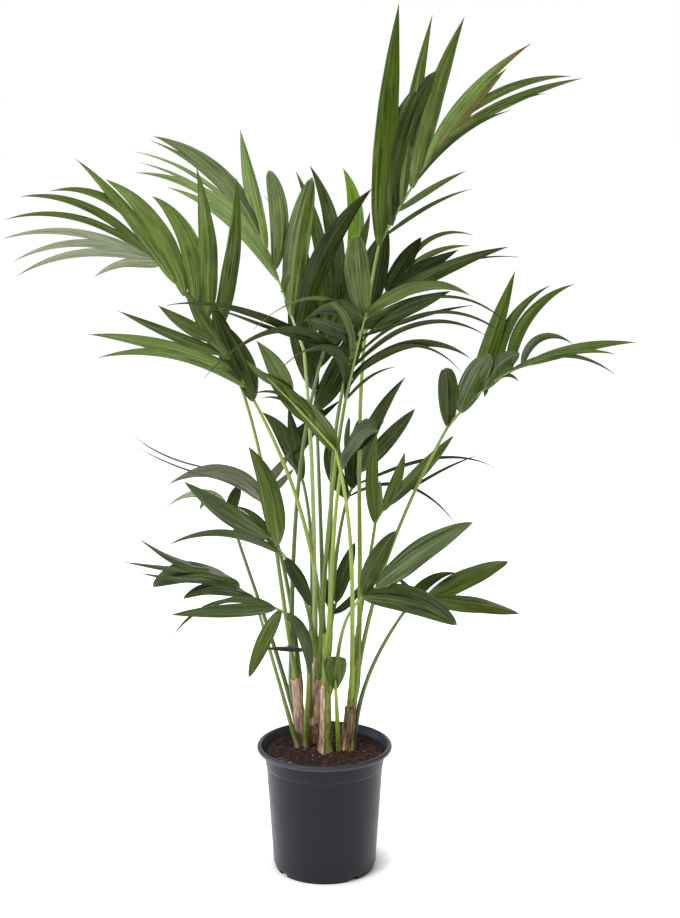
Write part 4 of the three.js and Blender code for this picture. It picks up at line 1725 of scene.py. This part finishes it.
FRONDS = (
    Frond(
        "upper_left", foot=(-52, 30, 345), base=(-140, -10, 870), tip=(-290, -70, 1105),
        rise=0, enter=0.5, lift=45, roll=70, stalk=StalkTone.GREEN,
        left=Side(
            angle=(33, 34, 27, 24, 18, 16), length=(70, 120, 250, 250, 260, 260),
            width=(14, 14, 14, 14, 14, 12), droop=(0.6, 0.9, 0.9, 0.8, 0.7, 0.5),
            bow=(10, 8, 8, -2, 2, -25), start=0.88, end=1,
            tones=(PALE, PALE, PALE, PALE, PALE, MID),
        ),
        right=Side(
            angle=(47, 36, 20, 9, 7, -1, -7), length=(285, 265, 215, 240, 260, 255, 260),
            width=(34, 42, 44, 38, 26, 20, 16), droop=(0, 0, 0.2, 0.3, 0.3, 0.5, 0.5),
            bow=(22, 25, 69, 39, 7, 56, 28), start=0.3, end=0.93,
            tones=(MID, FRESH, FRESH, FRESH, FRESH, MID, MID),
        ),
    ),
    Frond(
        "left_middle", foot=(-4, 62, 370), base=(-120, -30, 855), tip=(-190, -90, 980),
        rise=1, enter=1, lift=10, roll=95, stalk=StalkTone.BRIGHT,
        left=Side(
            angle=(38, 31, 24, 16), length=(305, 295, 225, 130), width=(18, 24, 18, 24),
            droop=(0.15, 0.3, 0.25, 0.2), bow=(-38, 1, 19, 23), start=0.15, end=0.85,
            tones=(FRESH, FRESH, MID, MID),
        ),
        right=Side(
            angle=(9, 11, 2), length=(150, 150, 155), width=(40, 44, 30), droop=(0.05,),
            bow=(24, -10, -8), start=0, end=0.55, tones=(DEEP, DEEP, MID),
        ),
    ),
    Frond(
        "back_left", foot=(-17, 51, 395), base=(-35, 60, 925), tip=(-110, 130, 1115),
        rise=1, enter=0.2, lift=10, roll=50, stalk=StalkTone.PALE,
        left=Side(
            angle=(24, 28, 26, 25, 20, 19), length=(275, 335, 320, 325, 300, 290),
            width=(20, 20, 10, 10, 14, 34), droop=(0.2,), bow=(-32, -50, -33, -37, -30, -37),
            start=0.6, end=1, tones=(FRESH, FRESH, FRESH, FRESH, MID, MID),
        ),
        right=Side(
            angle=(44, 28, 26, 18, 10), length=(300, 250, 135, 185, 225),
            width=(40, 44, 28, 34, 28), droop=(0.05,), bow=(-39, -15, 45, 34, -7), start=0.1,
            end=0.9, point=(0.9, 0.6, 0.9, 0.5, 1), tones=(SHADE, MID, MID, MID, FRESH),
        ),
    ),
    Frond(
        "back_middle", foot=(-60, 40, 335), base=(-5, 110, 905), tip=(50, 200, 1070),
        rise=0.9, enter=1, lift=8, roll=0, stalk=StalkTone.DULL,
        left=Side(
            angle=(36, 29, 28, 27, 23), length=(390, 370, 335, 175, 230),
            width=(10, 28, 34, 34, 32), droop=(0.05,), bow=(-26, -19, -27, 15, -34), start=0.05,
            end=0.95, tones=(SHADE, LUSH, DEEP, DEEP, SUNLIT),
        ),
        right=Side(
            angle=(19, 13, 1), length=(185, 180, 160), width=(36, 34, 26), droop=(0.05,), bow=(15,),
            start=0.1, end=0.7, tones=(DEEP, DEEP, DEEP),
        ),
    ),
    Frond(
        "top_right", foot=(59, 10, 345), base=(95, 60, 1110), tip=(235, 150, 1325),
        rise=0, enter=0.4, lift=18, roll=-70, stalk=StalkTone.GREEN,
        left=Side(
            angle=(24, 13, 21, 14, -8, -7), length=(420, 290, 340, 320, 315, 210),
            width=(42, 52, 28, 36, 24, 24), droop=(0,), bow=(4, 44, 9, 13, 32, 11), start=0,
            end=0.68, point=(1, 0.8, 1, 1, 1, 1), tones=(LUSH, DEEP, MID, MID, SCORCHED, DRIED),
        ),
        right=Side(
            angle=(23, 20, 18, 23, 27, 25), length=(190, 150, 240, 270, 305, 250),
            width=(8, 12, 10, 12, 18, 16), droop=(0.4, 0.4, 0.1, 0.1, 0.1, 0.2),
            bow=(0, 11, -35, -34, -18, -26), start=0.05, end=0.95,
            tones=(LUSH, MID, DEEP, LUSH, MID, MID),
        ),
    ),
    Frond(
        "centre", foot=(-7, 48, 395), base=(35, -60, 850), tip=(70, -130, 1015),
        rise=0.5, enter=0.7, lift=8, roll=0, stalk=StalkTone.GREEN,
        left=Side(
            angle=(39, 54, 54, 48, 57, 57, 61, 62, 56),
            length=(105, 245, 230, 255, 310, 320, 200, 160, 195),
            width=(7, 8, 20, 11, 8, 7, 10, 38, 28), droop=(0.5, 1.1, 1, 1, 1.1, 1.1, 0.5, 0.2, 0.8),
            bow=(-21, -75, -28, -28, -44, -60, 22, 11, -35), start=0.05, end=0.95,
            tones=(DEEP, DEEP, DEEP, DEEP, DEEP, DEEP, DEEP, DEEP, MID),
        ),
        right=Side(
            angle=(38, 35, 56, 51, 52, 47, 48, 19), length=(245, 380, 365, 430, 340, 150, 160, 170),
            width=(18, 12, 14, 14, 8, 26, 30, 42), droop=(1, 1, 1.1, 0.7, 0.7, 0.8, 1.1, 0.05),
            bow=(-75, -75, -48, 17, 52, 46, -20, 12), start=0.05, end=0.95,
            point=(1, 1, 1, 1, 1, 1, 0.8, 0.5),
            tones=(DEEP, MID, DEEP, DEEP, DEEP, DEEP, DEEP, MID),
        ),
    ),
    Frond(
        "front_left", foot=(49, 6, 345), base=(20, -120, 785), tip=(-90, -175, 915),
        rise=1, enter=0.3, lift=6, roll=-50, stalk=StalkTone.BRIGHT,
        left=Side(
            angle=(3, 1, 17), length=(150, 130, 125), width=(36, 34, 34), droop=(0.1,),
            bow=(16, 6, 23), start=0, end=0.7, tones=(MID, LUSH, MID),
        ),
        right=Side(
            angle=(15, 30, 2), length=(95, 70, 65), width=(8, 6, 14), droop=(0.3, 0.3, 0.1),
            bow=(-56, -62, 18), start=0.4, end=0.9, tones=(DEEP, DEEP, MID),
        ),
    ),
    Frond(
        "far_right", foot=(54, 20, 300), base=(215, 20, 800), tip=(350, 40, 905),
        rise=0.7, enter=0.5, lift=30, roll=-60, stalk=StalkTone.GREEN,
        left=Side(
            angle=(42, 16, 29, 9, 29, 28, 23), length=(105, 115, 240, 90, 205, 210, 130),
            width=(36, 46, 32, 36, 20, 22, 15), droop=(0, 0, 0, 0.1, 0.1, 0.1, 0.9),
            bow=(-7, 21, 2, 50, 63, 66, 75), start=0, end=0.95, point=(0.4, 0.5, 1, 0.6, 1, 1, 1),
            tones=(DEEP, COOL, LUSH, COOL, LUSH, LUSH, COOL),
        ),
        right=Side(
            angle=(150, 20, 10, 10, 1), length=(20, 45, 205, 180, 200), width=(8, 8, 10, 12, 20),
            droop=(0.9, 0.9, 0.9, 0.3, 0.3), bow=(5, -75, -27, -23, -5), start=0.5, end=1,
            tones=(DEEP, DEEP, COOL, MID, MID),
        ),
    ),
    Frond(
        "back_right", foot=(2, 54, 380), base=(40, 110, 650), tip=(75, 165, 710),
        rise=0, enter=0.5, lift=6, roll=-50, stalk=StalkTone.DULL,
        left=Side(
            angle=(43, 20, 1, -11), length=(115, 110, 245, 185), width=(34, 34, 28, 30),
            droop=(0.05,), bow=(44, 10, 26, -2), start=0.05, end=0.7, point=(0.8, 0.8, 1, 0.8),
            tones=(DEEP, SHADE, COOL, COOL),
        ),
        right=Side(
            angle=(50, 29), length=(275, 360), width=(7,), droop=(1.2, 0.9), bow=(-37, 14),
            start=0.05, end=0.3, tones=(DEEP, DEEP),
        ),
    ),
    Frond(
        "right_middle", foot=(53, 24, 345), base=(90, 55, 620), tip=(120, 75, 655),
        rise=0.8, enter=0, lift=8, roll=-60, stalk=StalkTone.GREEN,
        left=Side(
            angle=(28, 31, 16, -1), length=(160, 65, 115, 185), width=(24, 16, 22, 24), droop=(0,),
            bow=(21, 15, -15, -2), start=0, end=0.7, point=(0.8, 0.8, 0.9, 0.8),
            tones=(MID, FRESH, MID, MID),
        ),
        right=Side(
            angle=(6,), length=(205,), width=(6,), droop=(0.3,), bow=(0,), start=0.9, end=0.9,
            tones=(DEEP,),
        ),
    ),
    Frond(
        "right_low", foot=(11, -4, 330), base=(65, -80, 520), tip=(135, -110, 565),
        rise=0, enter=0.8, lift=6, roll=-65, stalk=StalkTone.GREEN,
        left=Side(
            angle=(35, 7), length=(130, 215), width=(38, 46), droop=(0.05,), bow=(34, 20),
            start=0.05, end=0.35, point=(0.8,), tones=(DEEP, COOL),
        ),
        right=Side(
            angle=(32, 43), length=(195, 60), width=(46, 8), droop=(0.5, 0.3), bow=(-17, 46),
            start=0.05, end=0.9, point=(0.7, 1), tones=(DEEP, DEEP),
        ),
    ),
    Frond(
        "right_low_back", foot=(53, 26, 205), base=(140, 20, 465), tip=(185, 50, 480),
        rise=1, enter=0.5, lift=6, roll=-40, stalk=StalkTone.DULL,
        left=Side(
            angle=(10, 11), length=(140, 220), width=(22, 40), droop=(0.4, 0.15), bow=(38, 2),
            start=0.1, end=0.9, point=(0.9, 0.7), tones=(DEEP, MID),
        ),
        right=Side(
            angle=(15,), length=(45, 195), width=(14, 38), droop=(0.4,), bow=(10, 16), start=0.1,
            end=0.9, point=(1, 0.8), tones=(DEEP, MID),
        ),
    ),
    Frond(
        "left_front", foot=(-20, 44, 400), base=(-65, -80, 590), tip=(-110, -95, 650),
        rise=0.6, enter=0.5, lift=6, roll=75, stalk=StalkTone.GREEN,
        left=Side(
            angle=(29, 7, 4, 11), length=(225, 105, 105, 185), width=(14, 12, 12, 34),
            droop=(0.7, 0.2, 0.2, 0.2), bow=(-17, -6, -45, 21), start=0.1, end=0.6,
            point=(1, 1, 1, 0.9), tones=(COOL, DEEP, DEEP, COOL),
        ),
        right=Side(
            angle=(150, 24), length=(105, 180), width=(26, 42), droop=(3, 0), bow=(75, 40), start=0,
            end=0.35, point=(0.8, 0.9), tones=(DEEP, MID),
        ),
    ),
    Frond(
        "left_low", foot=(-46, 20, 205), base=(-120, -10, 495), tip=(-205, -60, 565),
        rise=0, enter=0, lift=10, roll=30, stalk=StalkTone.GREEN,
        left=Side(
            angle=(17, 9, 21, 15), length=(175, 190, 205, 185), width=(32, 56, 12, 14),
            droop=(0.8, 0.9, 0.3, 0.2), bow=(6, -6, 46, 30), start=0.05, end=0.95,
            point=(0.7, 0.7, 1, 1), tones=(COOL, COOL, COOL, COOL),
        ),
        right=Side(
            angle=(0, 6), length=(130, 150), width=(20, 28), droop=(0.4, 0.1), bow=(5, -60),
            start=0.4, end=0.9, point=(0.9,), tones=(DEEP, COOL),
        ),
    ),
    Frond(
        "left_low_front", foot=(-31, 20, 205), base=(-65, -90, 495), tip=(-125, -100, 520),
        rise=0, enter=0.7, lift=8, roll=55, stalk=StalkTone.GREEN,
        left=Side(
            angle=(143, 75, 21), length=(120, 130, 185), width=(24, 26, 24), droop=(1.2, 1.2, 0.3),
            bow=(75, 13, 16), start=0, end=0.3, point=(0.8, 0.7, 0.9), tones=(COOL, MID, COOL),
        ),
        right=Side(
            angle=(-15, -18), length=(120, 160), width=(14, 8), droop=(0.3, 0.7), bow=(34, 42),
            start=0.3, end=0.9, tones=(COOL, DEEP),
        ),
    ),
    Frond(
        "left_low_back", foot=(-43, 60, 205), base=(-170, 150, 605), tip=(-205, 210, 640),
        rise=0.3, enter=0, lift=5, roll=30, stalk=StalkTone.DULL,
        left=Side(
            angle=(34, 92), length=(165, 45), width=(22, 14), droop=(0.7, 0.6), bow=(-75,),
            start=0.3, end=0.9, tones=(PALE, MID),
        ),
        right=Side(
            angle=(38,), length=(75,), width=(24,), droop=(0.1,), bow=(-13,), start=0.1, end=0.9,
            point=(0.7,), tones=(DEEP,),
        ),
    ),
    Frond(
        "small_front", foot=(26, 6, 205), base=(20, -30, 340), tip=(20, -40, 360),
        rise=0, enter=0, lift=0, roll=0, stalk=StalkTone.BRIGHT,
        left=Side(
            angle=(-6,), length=(80,), width=(30,), droop=(0,), bow=(0,), start=0.1, end=0.9,
            point=(0.3,), tones=(MID,),
        ),
        right=Side(
            angle=(-6,), length=(75,), width=(28,), droop=(0,), bow=(0,), start=0.3, end=0.9,
            point=(0.3,), tones=(MID,),
        ),
    ),
    Frond(
        "centre_low", foot=(7, -4, 420), base=(30, -40, 740), tip=(50, -75, 785),
        rise=0.1, enter=0.4, lift=8, roll=-65, stalk=StalkTone.BRIGHT,
        left=Side(
            angle=(-18, -4), length=(205, 130), width=(52, 14), droop=(0.5, 0.3), bow=(26, -75),
            start=0, end=0.9, point=(0.95, 1), tones=(DEEP, SHADE),
        ),
        right=Side(
            angle=(-90, -90, -73), length=(135, 90, 50), width=(22, 26, 22), droop=(0.1,),
            bow=(-75, -16, -12), start=0.05, end=0.9, point=(1, 0.7, 0.7),
            tones=(SHADE, LUSH, DEEP),
        ),
    ),
    Frond(
        "back_low_left", foot=(-28, 63, 270), base=(-40, 170, 670), tip=(-85, 235, 735),
        rise=0.5, enter=0.5, lift=6, roll=40, stalk=StalkTone.DULL,
        left=Side(
            angle=(1,), length=(145,), width=(32,), droop=(0.1,), bow=(-35,), start=0.3, end=0.9,
            tones=(DEEP,),
        ),
        right=Side(
            angle=(15, 54, 83), length=(155, 135, 140), width=(26, 24, 22), droop=(0.1,),
            bow=(-1, 15, 15), start=0.05, end=0.9, tones=(DEEP, SHADE, SHADE),
        ),
    ),
    Frond(
        "back_low", foot=(2, 10, 260), base=(15, 60, 450), tip=(30, 100, 495),
        rise=0.5, enter=0.5, lift=4, roll=0, stalk=StalkTone.DULL,
        left=Side(
            angle=(25, -2), length=(110, 125), width=(16, 30), droop=(0.05,), bow=(15, 9),
            start=0.05, end=0.4, point=(1, 0.8), tones=(SHADE, DEEP),
        ),
        right=Side(
            angle=(29,), length=(85,), width=(16,), droop=(0.05,), bow=(56,), start=0.05, end=0.9,
            tones=(DEEP,),
        ),
    ),
    Frond(
        "back_high_right", foot=(10, 14, 420), base=(80, 90, 990), tip=(140, 120, 1055),
        rise=0.8, enter=0.7, lift=6, roll=-50, stalk=StalkTone.DULL,
        left=Side(
            angle=(26, 10, 0), length=(170, 120, 170), width=(32, 32, 10), droop=(0.05, 0.1, 0.6),
            bow=(-7, 4, 55), start=0, end=1, point=(0.8, 0.8, 1), tones=(SHADE, SHADE, MID),
        ),
        right=Side(
            angle=(22, 20, 15, 11), length=(270, 265, 140, 145), width=(28, 6, 28, 12),
            droop=(0.3, 0.6, 0.2, 0.4), bow=(-3, 1, 8, -26), start=0.05, end=0.9,
            tones=(DEEP, SHADE, SHADE, MID),
        ),
    ),
    Frond(
        "back_left_low", foot=(-44, 44, 330), base=(-115, 110, 650), tip=(-180, 170, 695),
        rise=0.5, enter=0.5, lift=6, roll=30, stalk=StalkTone.DULL,
        left=Side(
            angle=(27, 17, 9), length=(205, 240, 240), width=(38, 4, 4), droop=(0.5, 0.3, 0.3),
            bow=(-75, 42, 55), start=0, end=0.9, tones=(GREY, GREY, GREY),
        ),
        right=Side(
            angle=(77, 70), length=(95, 120), width=(16, 20), droop=(0.1,), bow=(19, 20), start=0,
            end=0.15, tones=(GREY, GREY),
        ),
    ),
    Frond(
        "back_upper", foot=(-2, 62, 400), base=(-15, 170, 785), tip=(-25, 290, 935),
        rise=0.5, enter=1, lift=10, roll=0, stalk=StalkTone.DULL,
        left=Side(
            angle=(6, 1), length=(270, 280), width=(44, 40), droop=(0.2,), bow=(15,), start=0.3,
            end=0.95, tones=(DEEP, DEEP),
        ),
        right=Side(
            angle=(25, 21, 11), length=(265, 285, 300), width=(46, 46, 40), droop=(0.2,), bow=(15,),
            start=0.1, end=0.95, tones=(DEEP, DEEP, MID),
        ),
    ),
    Frond(
        "low_side", foot=(-27, 40, 290), base=(-35, -25, 410), tip=(-45, -35, 415),
        rise=0.5, enter=0.5, lift=0, roll=20, stalk=StalkTone.DULL,
        left=Side(
            angle=(6,), length=(110,), width=(16,), droop=(0.1,), bow=(0,), start=0, end=0.9,
            tones=(DEEP,),
        ),
        right=Side(
            angle=(18,), length=(35,), width=(8,), droop=(0.1,), bow=(0,), start=0.5, end=0.9,
            tones=(DEEP,),
        ),
    ),
)


# -------------------------------------------------------------------------------- studio


@dataclass(frozen=True)
class Softbox:
    """A large lamp behind white cloth, aimed at a point of the plant."""

    name: str
    place: Triple
    aim: Triple
    width: float
    height: float
    power: float
    colour: Triple = (1.0, 1.0, 1.0)

    def hang(self) -> None:
        """Hang the lamp, out of the camera's sight."""
        data = bpy.data.lights.new(self.name, "AREA")
        data.shape = "RECTANGLE"
        data.size = self.width
        data.size_y = self.height
        data.energy = self.power
        data.color = self.colour
        lamp = bpy.data.objects.new(self.name, data)
        lamp.location = self.place
        onward = Vector(self.aim) - Vector(self.place)
        lamp.rotation_euler = onward.to_track_quat("-Z", "Y").to_euler()
        lamp.visible_camera = False
        bpy.context.scene.collection.objects.link(lamp)


@dataclass(frozen=True)
class Studio:
    """A pale floor that runs into a white surround, soft light and the camera."""

    camera_place: Triple = (0.0276, -3.047, 1.355)
    camera_pitch: float = 11.3
    lens: float = 70.6
    floor_radius: float = 40.0
    floor_glow: float = 0.66
    # Painted shadow: where the floor's glow fades out round the pot.
    painted_shadow_reach: tuple[float, float] = (0.08, 0.14)
    sky_strength: float = 0.18
    sun_strength: float = 0.8
    sun_softness: float = 70
    sun_pitch: float = 35
    sun_turn: float = -30
    view_depth: float = 200.0
    lamps: tuple[Softbox, ...] = (
        Softbox("key", (-2.2, -2.4, 3.0), (0.0, 0.0, 0.8), 1.5, 1.5, 80),
        Softbox("top", (-0.3, -0.9, 3.7), (0.0, 0.0, 0.6), 2.2, 2.2, 40),
        Softbox("side", (-3.0, 0.2, 0.7), (0.0, 0.0, 0.3), 2.6, 2.0, 56, (0.7, 0.8, 1.0)),
        Softbox("fill", (3.0, -1.6, 1.4), (0.0, 0.0, 0.7), 0.9, 2.0, 14),
        Softbox("rim", (0.4, 3.2, 1.9), (0.0, 0.0, 0.5), 4.0, 1.6, 32),
    )

    def set_camera(self) -> None:
        """Aim the camera along +Y, tipped a little down."""
        data = bpy.data.cameras.new("camera")
        data.lens = self.lens
        data.clip_end = self.view_depth
        camera = bpy.data.objects.new("camera", data)
        camera.location = self.camera_place
        camera.rotation_euler = (math.radians(90 - self.camera_pitch), 0.0, 0.0)
        bpy.context.scene.collection.objects.link(camera)
        bpy.context.scene.camera = camera

    def lay_floor(self) -> None:
        """Lay the pale floor as the stage: it glows evenly white, and the glow fades out in the patch
        under the pot as a painted shadow.
        """
        bm = bmesh.new()
        bmesh.ops.create_circle(bm, cap_ends=True, segments=96, radius=self.floor_radius)
        mesh = bpy.data.meshes.new("floor")
        bm.to_mesh(mesh)
        bm.free()
        floor = bpy.data.objects.new("floor", mesh)
        bpy.context.scene.collection.objects.link(floor)
        graph = Graph("floor_paper")
        place = graph.place()
        colour = graph.mix(graph.noise(place, 3.0, 2.0), "fcfcfc", "ffffff")
        away = graph.node("ShaderNodeVectorMath", {0: place}, operation="LENGTH").outputs["Value"]
        # The floor's glow fades out near the pot, which leaves a painted contact shadow under it.
        glow_and_painted_shadow = graph.math("MULTIPLY", graph.step(away, *self.painted_shadow_reach), self.floor_glow)
        graph.dress(Emission_Color="ffffff", Emission_Strength=glow_and_painted_shadow)
        mesh.materials.append(graph.dress(Base_Color=colour, Roughness=0.95))
        floor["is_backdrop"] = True

    def hang_lights(self) -> None:
        """Hang the lamps in a white surround that gives less light than it shows."""
        world = bpy.data.worlds.new("surround")
        bpy.context.scene.world = world
        world.use_nodes = True
        nodes, links = world.node_tree.nodes, world.node_tree.links
        back = nodes["Background"]
        back.inputs["Color"].default_value = paint("ffffff")
        seen = nodes.new("ShaderNodeLightPath").outputs["Is Camera Ray"]
        level = nodes.new("ShaderNodeMapRange")
        level.inputs["To Min"].default_value = self.sky_strength
        level.inputs["To Max"].default_value = 1.0
        links.new(seen, level.inputs["Value"])
        links.new(level.outputs[0], back.inputs["Strength"])
        data = bpy.data.lights.new("ceiling", "SUN")
        data.energy = self.sun_strength
        data.angle = math.radians(self.sun_softness)
        ceiling = bpy.data.objects.new("ceiling", data)
        ceiling.rotation_euler = (math.radians(self.sun_pitch), 0.0, math.radians(self.sun_turn))
        bpy.context.scene.collection.objects.link(ceiling)
        for lamp in self.lamps:
            lamp.hang()

    def build(self) -> None:
        """Set up the studio."""
        self.set_camera()
        self.lay_floor()
        self.hang_lights()
        bpy.context.scene.view_settings.view_transform = "Standard"


def corners(bounds: Sequence[Sequence[float]]) -> list[list[float]]:
    """Bounds as plain lists of numbers."""
    return [[float(value) for value in corner] for corner in bounds]


def main() -> None:
    """Load the frame, dress the palm around it and work out the two boxes."""
    logging.basicConfig(level=logging.INFO, format="%(message)s")
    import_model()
    solid_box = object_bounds()
    Studio().build()
    POT.build()
    SOIL.build()
    for stem in STEMS:
        stem.build()
    for frond in FRONDS:
        frond.build()
    {"cad": corners(solid_box), "visual": corners(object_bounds())}


if __name__ == "__main__":
    main()
